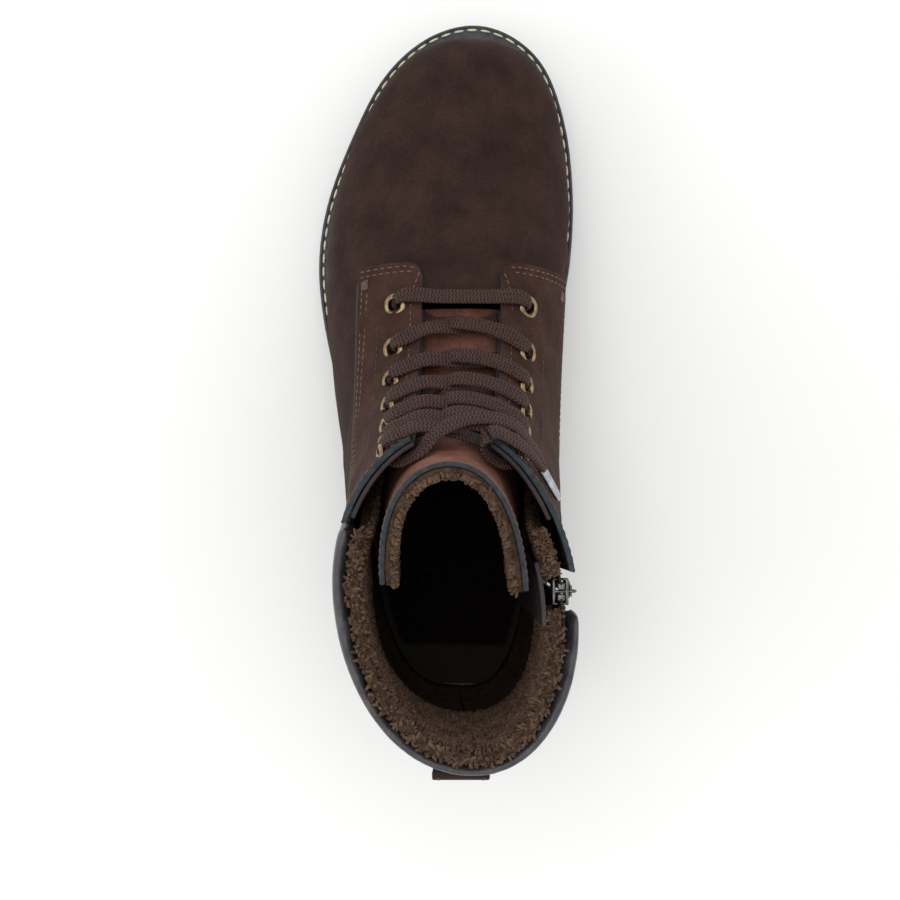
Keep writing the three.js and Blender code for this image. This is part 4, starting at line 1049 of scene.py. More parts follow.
inside = -upper["liningDepth"] - pile["padding"] + pile["sink"]
# the vamp lining takes the knitted ground's painted-shade copy
plushPanel("vampLining", "vamp_lining", vampLiningAt, 30, 50, "knitGroundPaintedShade")
for label, lining in linings.items():
    node = label.replace("Front", "_front").replace("Rear", "_rear") + "_lining"
    plushPanel(label + "Lining", node, lining["at"], *lining["net"])
for label, lining in linings.items():
    growPile(label + "Pile", lining["at"], inside, lining["locks"], lining["from"])

form = panelForm(tongue["liningRows"], tongue["liningColumns"], tongueAt,
                 lambda t, turn: tongueOffset(t, turn, tongue["liningBelow"]))
piece = makePiece("tongueLining", form, ["knitGround"], ["tongue_lining"])
addModifier(piece, "SOLIDIFY", thickness=tongue["liningPadding"] / 1000, offset=-1)
growPile("tonguePile", tongueAt, lambda t, turn: tongueOffset(t, turn, tongue["pileBelow"]),
         pile["tongueLocks"], pile["tongueFrom"], rim=0.0)
print("tongue and plush ready")

# the padded collar is a closed roll, blown up as a cushion would be: heights and depths in mm,
# square for how boxy its section is, then its net, the remesh and the cloth that fills it
collar = {
    "bottom": 131.0, "top": 165.0, "outside": 2.0, "inside": -3.4, "square": 3.4, "allowance": 0.5,
    "rings": 36, "columns": 190, "endShare": 0.12, "endThin": 0.62, "endShift": 0.7, "front": -1.1,
    "voxel": 1.7, "cap": 1.2, "pressure": 4.0, "frames": 20, "smoothing": 6, "quality": 4, "mass": 0.3,
    "stretch": 12, "shear": 5, "bending": 0.4, "seamHeight": 136.0, "seamFrom": 0.03,
    "seamTo": 0.985, "seamPoints": 160,
}


def collarFrontEdge(z):
    return 2 * math.pi + outerSeamTurn(stationAtZ(z, np.full(np.shape(z), collar["front"]))) - 0.02


collarFrontTurn = tabulated(collarFrontEdge, 120, 185, 60)


def collarPlace(around, v):
    # around goes once about the roll's own section, v from the zip round the back to the outer flap
    c, s = np.cos(2 * math.pi * around), np.sin(2 * math.pi * around)
    square = collar["square"]
    fullness = (np.abs(c) ** square + np.abs(s) ** square) ** (-1 / square)
    top, bottom, allowance = collar["top"], collar["bottom"], collar["allowance"]
    z = (bottom + top) / 2 + ((top - bottom) / 2 - allowance) * fullness * c
    turn = mix(zipRearTurn(z), collarFrontTurn(z), v)
    fromEnd = smoothStep(v / collar["endShare"])
    thin, shift = mix(collar["endThin"], 1.0, fromEnd), mix(collar["endShift"], 0.0, fromEnd)
    middle = (collar["outside"] + collar["inside"]) / 2 + shift
    half = (collar["outside"] - collar["inside"]) / 2 - allowance
    return stationAtZ(z, turn), turn, middle + half * fullness * s * thin


def makeCollar():
    form, u, v = gridForm(collar["rings"], collar["columns"])
    moveVerts(form, toWorld(offSkin(*collarPlace(u, v))))
    bmesh.ops.remove_doubles(form, verts=form.verts, dist=merge["net"])
    bmesh.ops.holes_fill(form, edges=[edge for edge in form.edges if edge.is_boundary], sides=0)
    bmesh.ops.recalc_face_normals(form, faces=form.faces)
    bmesh.ops.triangulate(form, faces=[face for face in form.faces if len(face.verts) > 4])
    return makePiece("paddedCollar", form, ["collarLeather"], ["padded_collar"])


def inflate(piece, settings):
    # cloth blown up by pressure, then no point moves further than the cap
    copy = bpy.data.objects.new("blown", piece.data.copy())
    scene.collection.objects.link(copy)
    remesh = copy.modifiers.new("Remesh", "REMESH")
    remesh.mode = "VOXEL"
    remesh.voxel_size = settings["voxel"] / 1000
    bpy.context.view_layer.update()
    shell = bpy.data.meshes.new_from_object(copy.evaluated_get(bpy.context.evaluated_depsgraph_get()))
    copy.modifiers.clear()
    copy.data = shell
    start = np.array([vert.co[:] for vert in shell.vertices])
    cloth = copy.modifiers.new("Cloth", "CLOTH")
    cloth.settings.quality = settings["quality"]
    cloth.settings.mass = settings["mass"]
    cloth.settings.tension_stiffness = settings["stretch"]
    cloth.settings.compression_stiffness = settings["stretch"]
    cloth.settings.shear_stiffness = settings["shear"]
    cloth.settings.bending_stiffness = settings["bending"]
    cloth.settings.use_pressure = True
    cloth.settings.uniform_pressure_force = settings["pressure"]
    cloth.settings.effector_weights.gravity = 0
    for number in range(1, settings["frames"] + 1):
        scene.frame_set(number)
    result = copy.evaluated_get(bpy.context.evaluated_depsgraph_get())
    after = np.array([vert.co[:] for vert in result.data.vertices])
    move = after - start
    reach = np.linalg.norm(move, axis=1, keepdims=True)
    move *= np.minimum(1, settings["cap"] / 1000 / np.maximum(reach, 1e-9))
    shell.vertices.foreach_set("co", (start + move).ravel())
    form = bmesh.new()
    form.from_mesh(shell)
    for _ in range(settings["smoothing"]):
        bmesh.ops.smooth_vert(form, verts=form.verts, factor=0.5, use_axis_x=True, use_axis_y=True,
                              use_axis_z=True)
    form.to_mesh(shell)
    form.free()
    scene.frame_set(1)
    copy.modifiers.clear()
    shell.materials.clear()
    for each in piece.data.materials:
        shell.materials.append(each)
    shell.shade_smooth()
    piece.data = shell
    bpy.data.objects.remove(copy)
    print("collar padding moved up to", round(float(reach.max()) * 1000, 2), "mm before the cap")


paddedCollar = makeCollar()
inflate(paddedCollar, collar)
addModifier(paddedCollar, "SUBSURF", levels=1, render_levels=1)

# the roll is sewn down along its lower edge
shares = np.linspace(collar["seamFrom"], collar["seamTo"], collar["seamPoints"])
heights = np.full(collar["seamPoints"], collar["seamHeight"])
turns = mix(zipRearTurn(heights), collarFrontTurn(heights), shares)
rows = [skinPath(stationAtZ(heights, turns), turns, collar["outside"])]
stitchRow("collarStitching", rows, "brownThread", "smooth_leather", pitch=3.1, length=2.3, width=0.65)
print("collar ready")


def spunForm(profile, axis, steps, joined):
    # a closed ring, or a line that ends on the axis, turned once round: x across or along, z out or up, mm
    form = bmesh.new()
    verts = [form.verts.new((x / 1000, 0, z / 1000)) for x, z in profile]
    ends = verts[1:] + verts[:1] if joined else verts[1:]
    edges = [form.edges.new(pair) for pair in zip(verts, ends)]
    bmesh.ops.spin(form, geom=verts + edges, cent=(0, 0, 0), axis=axis, angle=2 * math.pi, steps=steps,
                   use_merge=True)
    bmesh.ops.remove_doubles(form, verts=form.verts, dist=merge["spun"] if joined else merge["tip"])
    bmesh.ops.recalc_face_normals(form, faces=form.faces)
    return form


def makeEyelet(row, side, label):
    # a barrel through the leather, rolled over into a flange
    t, turn, _ = eyeletSpots[side][row]
    bore, flange = eyelet["bore"], eyelet["flange"]
    base = upper["flapTop"] + 0.12
    form = spunForm([
        (bore + 0.5, -2.4), (bore, -2.4), (bore, 1.4), (bore + 0.12, base + 0.55), (bore + 0.5, base + 0.95),
        (bore + 1.1, base + 1.02), (flange - 0.55, base + 0.62), (flange - 0.1, base + 0.28), (flange, base),
        (bore + 0.5, base - 0.02)], (0, 0, 1), 40, True)
    place = frameAt(toWorld(skin(t, turn)), Vector((0, 1, 0)), flip(skinNormal(t, turn)))
    bmesh.ops.transform(form, matrix=place, verts=form.verts)
    makePiece(f"{label}Eyelet{row + 1}", form, ["antiqueBrass"], [f"{label}_eyelet_{row + 1}"])


for row in range(eyelet["rows"]):
    for side, label in ((-1, "outer"), (1, "inner")):
        makeEyelet(row, side, label)
print("eyelets ready")

# the lace is one flat braid from tip to tip, mm: over and under are its heights off the last above the
# flaps and below them, and entry where it comes down into an eyelet
lace = {
    "width": 6.6, "thickness": 1.1, "lieFlat": 0.55, "over": 3.9, "under": -3.6, "entry": 5.0, "step": 0.8,
    "sides": 14, "narrowest": 0.4,
    "tips": {"outer": (12.5, 27.5, 12.4, 33.0), "inner": (13.3, 26.5, 13.2, 32.0)},
}
over, under, entry = lace["over"], lace["under"], lace["entry"]


def laceSpot(t, beside, offset):
    # a place beside the ridge line, off the skin, and the way the skin faces there
    t = np.array(float(t))
    turn = turnBeside(t, 1 if beside >= 0 else -1, abs(beside))
    return offSkin(t, turn, np.array(float(offset))), skinNormal(t, turn)


# each place on the route is a station, mm beside the ridge, mm off the last, and a share of the full width
def aboveEyelet(row, side):
    t, _, spacing = eyeletSpots[side][row]
    return [(t - 0.07, side * (spacing - 4.4), entry, 1),
            (t - 0.02, side * (spacing - 1.3), entry - 0.4, 0.7),
            (t, side * spacing, 2.7, 0.6), (t, side * spacing, 0, 0.6)]


def belowEyelet(row, side):
    t, _, spacing = eyeletSpots[side][row]
    return [(t, side * spacing, -1.8, 0.6), (t + 0.02, side * (spacing - 1.6), under - 0.3, 0.8)]


def crossingRoute(row, side):
    # from under one flap over the tongue and down into the next eyelet opposite
    t = eyeletSpots[side][row][0]
    edge = throatHalf(t)
    return [*belowEyelet(row, side), (t + 0.16, side * (edge + 3), under, 1),
            (t + 0.33, side * (edge - 4), under + 0.5, 1), (t + 0.5, side, -1.2 if side > 0 else 2, 1),
            (t + 0.66, -side * (edge - 4), over - 0.6, 1), (t + 0.8, -side * (edge + 2), over + 0.2, 1),
            *aboveEyelet(row + 1, -side)]


def climb(side):
    route = []
    for row in range(eyelet["rows"] - 1):
        route += crossingRoute(row, side)
        side = -side
    return route


def laceRoute():
    # up one side from its tip, along the bar at the toe, and up the other side to the other tip
    top = eyelet["rows"] - 1
    t = eyeletSpots[1][top][0]
    outerT, outerBeside = lace["tips"]["outer"][:2]
    innerT, innerBeside = lace["tips"]["inner"][:2]
    outerEnd = [*belowEyelet(top, -1), (t + 0.2, -12, under, 1), (t - 0.05, -5, 0.5, 1),
                (t - 0.35, 6, 5.2, 1), (t - 0.5, 16, over + 4, 1), (outerT, outerBeside - 5, 6.2, 0.8),
                (outerT, outerBeside - 1, over + 1.2, 0.5), (outerT, outerBeside + 0.6, over + 0.6, 0.42)]
    innerEnd = [*belowEyelet(top, 1), (t + 0.2, 13.4, under - 0.2, 1), (t + 0.3, 10.2, -0.6, 1),
                (t + 0.32, 12, over + 0.4, 1), (t + 0.34, 18, entry + 0.4, 1),
                (t + 0.34, 22.5, entry + 0.4, 0.8),
                (innerT, innerBeside - 0.5, over + 1, 0.5), (innerT, innerBeside + 0.6, over + 0.8, 0.42)]
    bar = {side: [*aboveEyelet(0, side)[::-1], (7.1, side * 8, over, 1)] for side in (-1, 1)}
    return outerEnd[::-1] + climb(-1)[::-1] + bar[-1] + bar[1][::-1] + climb(1) + innerEnd


def smoothRoute(points, extra, step):
    # one smooth curve through the points, cut into even steps; extra columns ride along
    data = np.concatenate([points, extra], axis=1)
    gaps = np.maximum(np.linalg.norm(np.diff(points, axis=0), axis=1), 1e-6) ** 0.5
    knots = np.concatenate([[0], np.cumsum(gaps)])
    slopes = np.gradient(data, knots, axis=0)
    f = np.linspace(0, 1, 16, endpoint=False)[:, None]
    fine = []
    for k, gap in enumerate(np.diff(knots)):
        a, b, c, d = data[k], data[k + 1], slopes[k] * gap, slopes[k + 1] * gap
        fine.append((2 * f**3 - 3 * f**2 + 1) * a + (f**3 - 2 * f**2 + f) * c
                    + (3 * f**2 - 2 * f**3) * b + (f**3 - f**2) * d)
    fine = np.concatenate([*fine, data[-1:]])
    lengths = np.concatenate([[0], np.cumsum(np.linalg.norm(np.diff(fine[:, :3], axis=0), axis=1))])
    marks = np.linspace(0, lengths[-1], int(lengths[-1] / step) + 1)
    return np.stack([np.interp(marks, lengths, fine[:, k]) for k in range(fine.shape[1])], axis=1), marks


def unit(vectors):
    return vectors / np.maximum(np.linalg.norm(vectors, axis=-1, keepdims=True), 1e-6)


def braidSideways(ahead, normal):
    # the way across the braid at each step
    sideways = np.cross(normal, ahead)
    strength = np.linalg.norm(sideways, axis=1)
    kept = sideways / np.maximum(strength, 1e-6)[:, None]
    for i in range(1, len(kept)):          # where the lace dives through an eyelet it keeps its last twist
        trust = smoothStep((strength[i] - 0.35) / 0.3)
        if np.dot(kept[i], kept[i - 1]) < 0 and strength[i] < 0.75:
            kept[i] = -kept[i]
        kept[i] = kept[i] * trust + kept[i - 1] * (1 - trust)
        kept[i] = unit(kept[i] - ahead[i] * np.dot(kept[i], ahead[i]))
    for _ in range(4):
        kept[1:-1] = (kept[:-2] + 2 * kept[1:-1] + kept[2:]) / 4
    return unit(kept - ahead * np.sum(kept * ahead, axis=1, keepdims=True))


def rounded(wave, power):
    return np.sign(wave) * np.abs(wave) ** power


def makeLace():
    route = laceRoute()
    spots = [laceSpot(*knot[:3]) for knot in route]
    points = toWorld(np.array([spot for spot, _ in spots])) * 1000
    normals = flip(np.array([normal for _, normal in spots]))
    widths = np.array([[knot[3]] for knot in route])
    path, marks = smoothRoute(points, np.concatenate([normals, widths], axis=1), lace["step"])
    ahead = unit(np.gradient(path[:, :3], axis=0))
    normal = unit(path[:, 3:6])
    # it turns its face up where the front is steep
    normal[:, 2] += lace["lieFlat"] * (normal[:, 2] < 0.8)
    sideways = braidSideways(ahead, unit(normal))
    up = np.cross(ahead, sideways)
    form, u, v = gridForm(len(path) - 1, lace["sides"])
    i = np.round(u * (len(path) - 1)).astype(int)
    angle = 2 * math.pi * v
    share = np.clip(path[i, 6], lace["narrowest"], 1)
    narrow = (1 - share) / (1 - lace["narrowest"])
    across = lace["width"] / 2 * share * rounded(np.cos(angle), 0.55)
    lift = lace["thickness"] / 2 * (1 + 1.1 * narrow) * rounded(np.sin(angle), 0.75)
    moveVerts(form, (path[i, :3] + sideways[i] * across[:, None] + up[i] * lift[:, None]) / 1000)
    mapPiece(form, across / lace["width"] + 0.5, marks[i])
    bmesh.ops.remove_doubles(form, verts=form.verts, dist=merge["spun"])
    bmesh.ops.holes_fill(form, edges=[edge for edge in form.edges if edge.is_boundary], sides=0)
    bmesh.ops.recalc_face_normals(form, faces=form.faces)
    makePiece("flatLace", form, ["laceBraid"], ["lace"])
    print("lace", round(float(marks[-1])), "mm")


makeLace()


def makeLaceTip(name, node, tip):
    # a rolled metal tube, crimped at both ends and pressed a little flat
    fromT, fromBeside, toT, toBeside = tip
    start, normal = laceSpot(fromT, fromBeside, over + 0.4)
    end, _ = laceSpot(toT, toBeside, over + 0.2)
    start, end = toWorld(start), toWorld(end)
    form = spunForm([
        (0.0, 0.0), (0.0, 0.9), (0.5, 1.3), (0.9, 1.4), (1.5, 1.25), (2.2, 1.35), (13.6, 1.3), (14.2, 1.15),
        (14.9, 1.3), (16.4, 1.15), (17.0, 0.7), (17.0, 0.0)], (1, 0, 0), 24, False)
    bmesh.ops.scale(form, verts=form.verts, vec=(1, 1.15, 0.85))
    place = frameAt(start, Vector(end - start).normalized(), flip(normal))
    bmesh.ops.transform(form, matrix=place, verts=form.verts)
    makePiece(name, form, ["nickelPlate"], [node])


makeLaceTip("laceTip1", "lace_tip_1", lace["tips"]["outer"])
makeLaceTip("laceTip2", "lace_tip_2", lace["tips"]["inner"])
print("lace ready")


# the sole's plates lie on one outline and one height line, mm
sole = {
    "clearance": 0.3, "outsoleThickness": 8.6, "midsoleThickness": 5.4, "weltThickness": 3.4,
    "heelBreast": 88.0, "segments": 200, "heelSegments": 160, "weltSegments": 240, "slices": 64,
}


def soleCurve(u):
    # closed Catmull-Rom through the outline, with its direction
    count = len(soleOutline)
    place = (np.asarray(u, float) % 1) * count
    k = np.floor(place).astype(int)
    f = (place - k)[..., None]
    a, b, c, d = [soleOutline[(k + i) % count] for i in (-1, 0, 1, 2)]
    start, end = (c - a) / 2, (d - b) / 2
    bend = 2 * b - 2 * c + start + end
    curve = c - b - start - bend
    point = ((bend * f + curve) * f + start) * f + b
    return point, unit((3 * bend * f + 2 * curve) * f + start)


def soleEdge(u, inset):
    point, way = soleCurve(u)
    return point + np.stack([way[..., 1], -way[..., 0]], axis=-1) * np.asarray(inset, float)[..., None]


def weltBottom(s):
    return featherZ(s) - sole["weltThickness"]


def midsoleBottom(s):
    return weltBottom(s) - sole["clearance"] - sole["midsoleThickness"]


def outsoleTop(s):
    return midsoleBottom(s) - sole["clearance"]


def outsoleBottom(s):
    return outsoleTop(s) - sole["outsoleThickness"]


def newOf(grown, kind):
    return [item for item in grown["geom"] if isinstance(item, kind)]


def cut(form, s, **settings):
    geometry = [*form.verts, *form.edges, *form.faces]
    return bmesh.ops.bisect_plane(form, geom=geometry, plane_co=(0, s, 0), plane_no=(0, 1, 0), dist=0.0001,
                                  **settings)


def plateForm(rings, segments, upTo=None):
    # rings of an inset and a height line from the bottom up, closed below and above, sliced across so
    # that it follows the height lines, and cut off at upTo
    form = bmesh.new()
    level = form.verts.layers.float.new("level")
    place = form.verts.layers.float.new("place")
    made = bmesh.ops.create_circle(form, segments=segments, radius=0.1, cap_ends=True)
    for index, vert in enumerate(made["verts"]):
        vert[place] = index / segments
    edges = list(form.edges)
    for number in range(1, len(rings)):
        grown = bmesh.ops.extrude_edge_only(form, edges=edges)
        edges = newOf(grown, bmesh.types.BMEdge)
        for vert in newOf(grown, bmesh.types.BMVert):
            vert[level] = number
    bmesh.ops.edgeloop_fill(form, edges=edges)
    for vert in form.verts:
        spot = soleEdge(vert[place], rings[round(vert[level])][0])
        vert.co = (spot[0], spot[1], 10 * vert[level])      # levels stand 10 mm apart until the cuts are made
    for s in np.linspace(6, 300, sole["slices"]):
        cut(form, s)
    if upTo:
        rim = [item for item in cut(form, upTo, clear_outer=True)["geom_cut"]
               if isinstance(item, bmesh.types.BMEdge)]
        bmesh.ops.holes_fill(form, edges=rim, sides=0)
    for vert in form.verts:
        height = vert.co.z / 10
        low = min(int(math.floor(height + 1e-4)), len(rings) - 2)
        below, above = [float(rings[k][1](vert.co.y)) for k in (low, low + 1)]
        z = below + (above - below) * (height - low)
        vert.co = toWorld([vert.co.x, vert.co.y, max(z, 0.0)])
    bmesh.ops.recalc_face_normals(form, faces=form.faces)
    return form


def between(lower, upper, share):
    return lambda s: lower(s) + (upper(s) - lower(s)) * share


def wall(lower, upper, steps):
    # a side wall: each step is an inset in mm and a share of the way up
    return [(inset, between(lower, upper, share)) for inset, share in steps]


def markSharp(piece, angle):
    piece.data.set_sharp_from_angle(angle=math.radians(angle))


def groundedBottom(s):
    return np.maximum(outsoleBottom(s), 0.3)


# a foot chamfer, two moulded grooves and a rounded top
outsoleRings = wall(groundedBottom, outsoleTop, [
    (2.4, 0), (0.5, 0.16), (0.0, 0.3), (0.0, 0.46), (0.7, 0.5), (0.7, 0.58), (0.0, 0.62), (0.0, 0.9),
    (0.35, 0.97), (1.0, 1)])
outsoleForm = plateForm(outsoleRings, sole["segments"])


def sideOfSole(s, side):
    line = np.linspace(0.02, 0.98, 400)
    points = soleCurve(line / 2 if side < 0 else 1 - line / 2)[0]
    return float(np.interp(s, points[:, 1], points[:, 0]))


# lugs in two rows from the waist to the toe, mm; share is how much of the pitch a lug fills
lugs = {
    "first": 108, "last": 290, "pitch": 17, "depth": 4.0, "share": 0.58, "edge": 9.0, "fromMiddle": 5.0,
    "stagger": 0.3, "taper": 0.86, "round": 0.8, "sink": 1, "waist": 130,
}


def addLug(s, side):
    length = abs(sideOfSole(s, side)) - lugs["edge"]
    along = 0 if side < 0 else lugs["pitch"] * lugs["stagger"]
    middle = (side * (length / 2 + lugs["fromMiddle"]), s + along)
    top = float(outsoleBottom(s + lugs["pitch"] * 0.5)) + (0 if s < lugs["waist"] else lugs["sink"])
    low = max(0.0, top - lugs["depth"] - lugs["sink"])
    verts = bmesh.ops.create_cube(outsoleForm, size=1)["verts"]
    for vert in verts:
        z, taper = (top, 1.0) if vert.co.z > 0 else (low, lugs["taper"])
        wide = lugs["pitch"] * lugs["share"] * taper
        vert.co = toWorld([middle[0] + vert.co.x * length * taper, middle[1] + vert.co.y * wide, z])
    faces = list({face for vert in verts for face in vert.link_faces})
    bmesh.ops.recalc_face_normals(outsoleForm, faces=faces)
    edges = list({edge for vert in verts for edge in vert.link_edges})
    bmesh.ops.bevel(outsoleForm, geom=edges, offset=lugs["round"] / 1000, offset_type="OFFSET",
                    affect="EDGES", segments=2, profile=0.5, material=-1)


for s in range(lugs["first"], lugs["last"], lugs["pitch"]):
    for side in (-1, 1):
        addLug(s, side)
markSharp(makePiece("outsole_tread", outsoleForm, ["soleRubber"], ["outsole"]), 50)


def heelGround(s):
    return np.zeros(np.shape(s))


def heelTop(s):
    return outsoleBottom(s) - sole["clearance"]


heelRings = wall(heelGround, heelTop, [
    (3.4, 0), (1.8, 0.08), (1.0, 0.3), (1.0, 0.62), (1.7, 0.68), (1.7, 0.76), (1.0, 0.82), (1.0, 1)])
heelForm = plateForm(heelRings, sole["heelSegments"], sole["heelBreast"])
markSharp(makePiece("stackedHeel", heelForm, ["soleRubber"], ["heel_block"]), 40)


def midsoleTop(s):
    return weltBottom(s) - sole["clearance"]


midsoleForm = plateForm(wall(midsoleBottom, midsoleTop, [(1.9, 0), (1.2, 0.15), (1.2, 0.85), (1.9, 1)]),
                        sole["heelSegments"])
markSharp(makePiece("midsoleLayer", midsoleForm, ["midsoleRubber"], ["midsole"]), 50)


def makeWelt():
    # a ring: outer lip, a sewing channel and a bead against the leather, mm in from the edge and up
    form = bmesh.new()
    layer = form.verts.layers.float.new("place")
    section = [(0.9, -3.4), (0.8, -2.4), (0.8, -0.9), (1.1, -0.4), (1.7, -0.3), (1.9, -0.62), (3.9, -0.62),
               (4.2, -0.3), (8.9, -0.3), (8.9, -3.4)]
    made = bmesh.ops.create_circle(form, segments=sole["weltSegments"], radius=0.1, cap_ends=False)
    for index, vert in enumerate(made["verts"]):
        vert[layer] = index / sole["weltSegments"]
    first = edges = list(form.edges)
    rings = [made["verts"]]
    for _ in section[1:]:
        grown = bmesh.ops.extrude_edge_only(form, edges=edges)
        edges = newOf(grown, bmesh.types.BMEdge)
        rings.append(newOf(grown, bmesh.types.BMVert))
    bmesh.ops.bridge_loops(form, edges=first + edges)
    for (inset, rise), ring in zip(section, rings):
        for vert in ring:
            spot = soleEdge(vert[layer], inset)
            vert.co = toWorld([spot[0], spot[1], float(featherZ(spot[1])) + rise])
    bmesh.ops.recalc_face_normals(form, faces=form.faces)
    markSharp(makePiece("stormWelt", form, ["weltRubber"], ["welt"]), 60)


makeWelt()


def outlineRow(inset, rise, count=700):
    u = np.linspace(0, 1, count)
    p = soleEdge(u, np.full(count, inset))
    points = toWorld(np.stack([p[:, 0], p[:, 1], featherZ(p[:, 1]) + rise], axis=1))
    return points, np.tile([0.0, 0.0, 1.0], (count, 1))


stitchRow("weltStitching", [outlineRow(2.9, -0.42)], "creamThread", "welt_rubber", pitch=5.8, length=4.7,
          width=1.15, height=0.8)
print("sole ready")


def railPath(at, edge, inset, lift, count, fromShare, toShare):
    # a line on a flap, some mm in from its throat edge, back edge, front or top
    run = np.linspace(fromShare, toShare, count)
    still = 0.0 if edge in ("throat", "front") else 1.0
    nudge = 0.02 if still == 0 else -0.02
    across = np.full(count, still)
    if edge in ("front", "top"):
        here, inner = at(across, run), at(across + nudge, run)
    else:
        here, inner = at(run, across), at(run, across + nudge)
    gap = np.linalg.norm(skin(*inner) - skin(*here), axis=1)
    t, turn = [a + (b - a) * inset / np.maximum(gap, 1e-6) for a, b in zip(here, inner)]
    return skinPath(t, turn, upper["flapTop"] + lift)


# rows on each flap: edge, inset in mm, number of points, and the shares of the edge it runs between
flapRows = [("throat", 4.2, 220, 0.02, 0.97), ("front", 2.2, 80, 0.1, 0.97), ("front", 4.6, 80, 0.14, 0.97),
            ("back", 2.6, 220, 0.03, 0.97), ("top", 2.6, 80, 0.06, 0.95)]
secondBackRow = ("back", 5.4, 220, 0.05, 0.97)
for side, label in ((-1, "outer"), (1, "inner")):
    rows = [railPath(flapAts[side], edge, inset, seam["lift"], *run)
            for edge, inset, *run in flapRows + [secondBackRow] * (side < 0)]
    stitchRow(label + "FlapStitching", rows, "brownThread", "nubuck")

# the raw cut edges fray a little and show their dark ink
for side, label in ((-1, "outer"), (1, "inner")):
    rows = [railPath(flapAts[side], "back", 0.1, -0.5, 400, 0.03, 0.99)]
    stitchRow(label + "FlapRawEdge", rows, "blackEdge", "nubuck", pitch=1.3, length=2.3, width=1.5,
              height=1.1, jitter=0.25)

# one row beside each throat holds the facing
facingSeam = {
    "beside": 31.4, "taper": 0.35, "from": 7.15, "to": 16.0, "start": 0.04, "end": 0.985, "below": 4,
}
rows = []
for side in (-1, 1):
    t = mix(facingSeam["from"], facingSeam["to"], np.linspace(facingSeam["start"], facingSeam["end"], 240))
    turns = turnBeside(t, side, tapered(facingSeam["beside"], facingSeam["taper"], t))
    onFlap = skin(t, turns)[:, 2] < last["toplineHeight"] - facingSeam["below"]
    rows.append(skinPath(t[onFlap], turns[onFlap], upper["flapTop"] + seam["lift"]))
stitchRow("facingStitching", rows, "darkThread", "nubuck")

# close parallel stitches hold the corner of each lace flap: mm, and shares of the flap's height and width
tack = {"bars": 7, "pitch": 0.58, "length": 4.2, "width": 0.6, "height": 0.55, "up": 0.035, "along": 0.86}


def barTacks(name):
    form = bmesh.new()
    template = roundTemplate(tack["length"], tack["width"], tack["height"])
    for side in (-1, 1):
        t, turn = [float(value) for value in flapAts[side](np.array(tack["up"]), np.array(tack["along"]))]
        centre = Vector(toWorld(offSkin(t, turn, upper["flapTop"] + 0.12)))
        normal = Vector(flip(skinNormal(t, turn)))
        along = Vector(toWorld(skin(t + 0.05, turn)) - toWorld(skin(t, turn))).normalized()
        steps = (np.arange(tack["bars"]) - (tack["bars"] - 1) / 2) * tack["pitch"] / 1000
        stamp(form, template, [frameAt(centre + along * step, normal.cross(along), normal) for step in steps])
    bpy.data.meshes.remove(template)
    makePiece(name, form, ["brownThread"], ())


barTacks("cornerTacks")

# the backstay's two rows, and one down the outer side seam
rows = []
z = np.linspace(upper["heelSeat"] + 5, upper["collarBottom"] - 5, 160)
for side in (-1, 1):
    turn = math.pi + side * (backstayReach(z) - 0.0398)
    rows.append(skinPath(stationAtZ(z, turn), turn, rear["backstayTop"] + 0.05))
z = np.linspace(40, rearTop - 3, 160)
turn = outerRearTurn(z) - 0.05
rows.append(skinPath(stationAtZ(z, turn), turn, 0.1))
stitchRow("heelStitching", rows, "brownThread", "nubuck")

# the zip is sewn in with one row each side: the leather's height there, and how far up the row runs
rows = []
for side, lift, top in ((1, upper["flapTop"], 161), (-1, 0.1, 131)):
    z = np.linspace(64, top, 200)
    edge = turnAtPlace(lambda zz, side=side: zipS(zz) + side * (last["zipGap"] + 2.4), 1)(z)
    rows.append(skinPath(stationAtZ(z, edge), edge, lift))
stitchRow("zipStitching", rows, "darkThread", "nubuck")


def tongueRow(inset):
    # one row inside the tongue's arch
    v = np.linspace(0.02, 0.98, 200)
    edge, inner = tongueAt(np.ones(200), v), tongueAt(np.full(200, 0.96), v)
    gap = np.linalg.norm(skin(*inner) - skin(*edge), axis=1)
    t, turn = [a + (b - a) * inset / gap for a, b in zip(edge, inner)]
    return toWorld(offSkin(t, turn, tongueOffset(t, turn, -0.05))), flip(skinNormal(t, turn))


stitchRow("tongueStitching", [tongueRow(2.4)], "brownThread", "tongue_nubuck", length=2.1, width=0.6)
print("stitching ready")

# the heel pull loop is a folded strap, sewn down at both ends, mm
loop = {
    "width": 21.0, "thickness": 1.8, "folds": 60, "across": 14, "bow": 0.75, "droop": 0.1, "edgeRound": 0.5,
    "margin": 0.4, "endMargin": 0.1, "seamInset": 2.2, "seamFrom": 0.14, "seamPoints": 140,
}


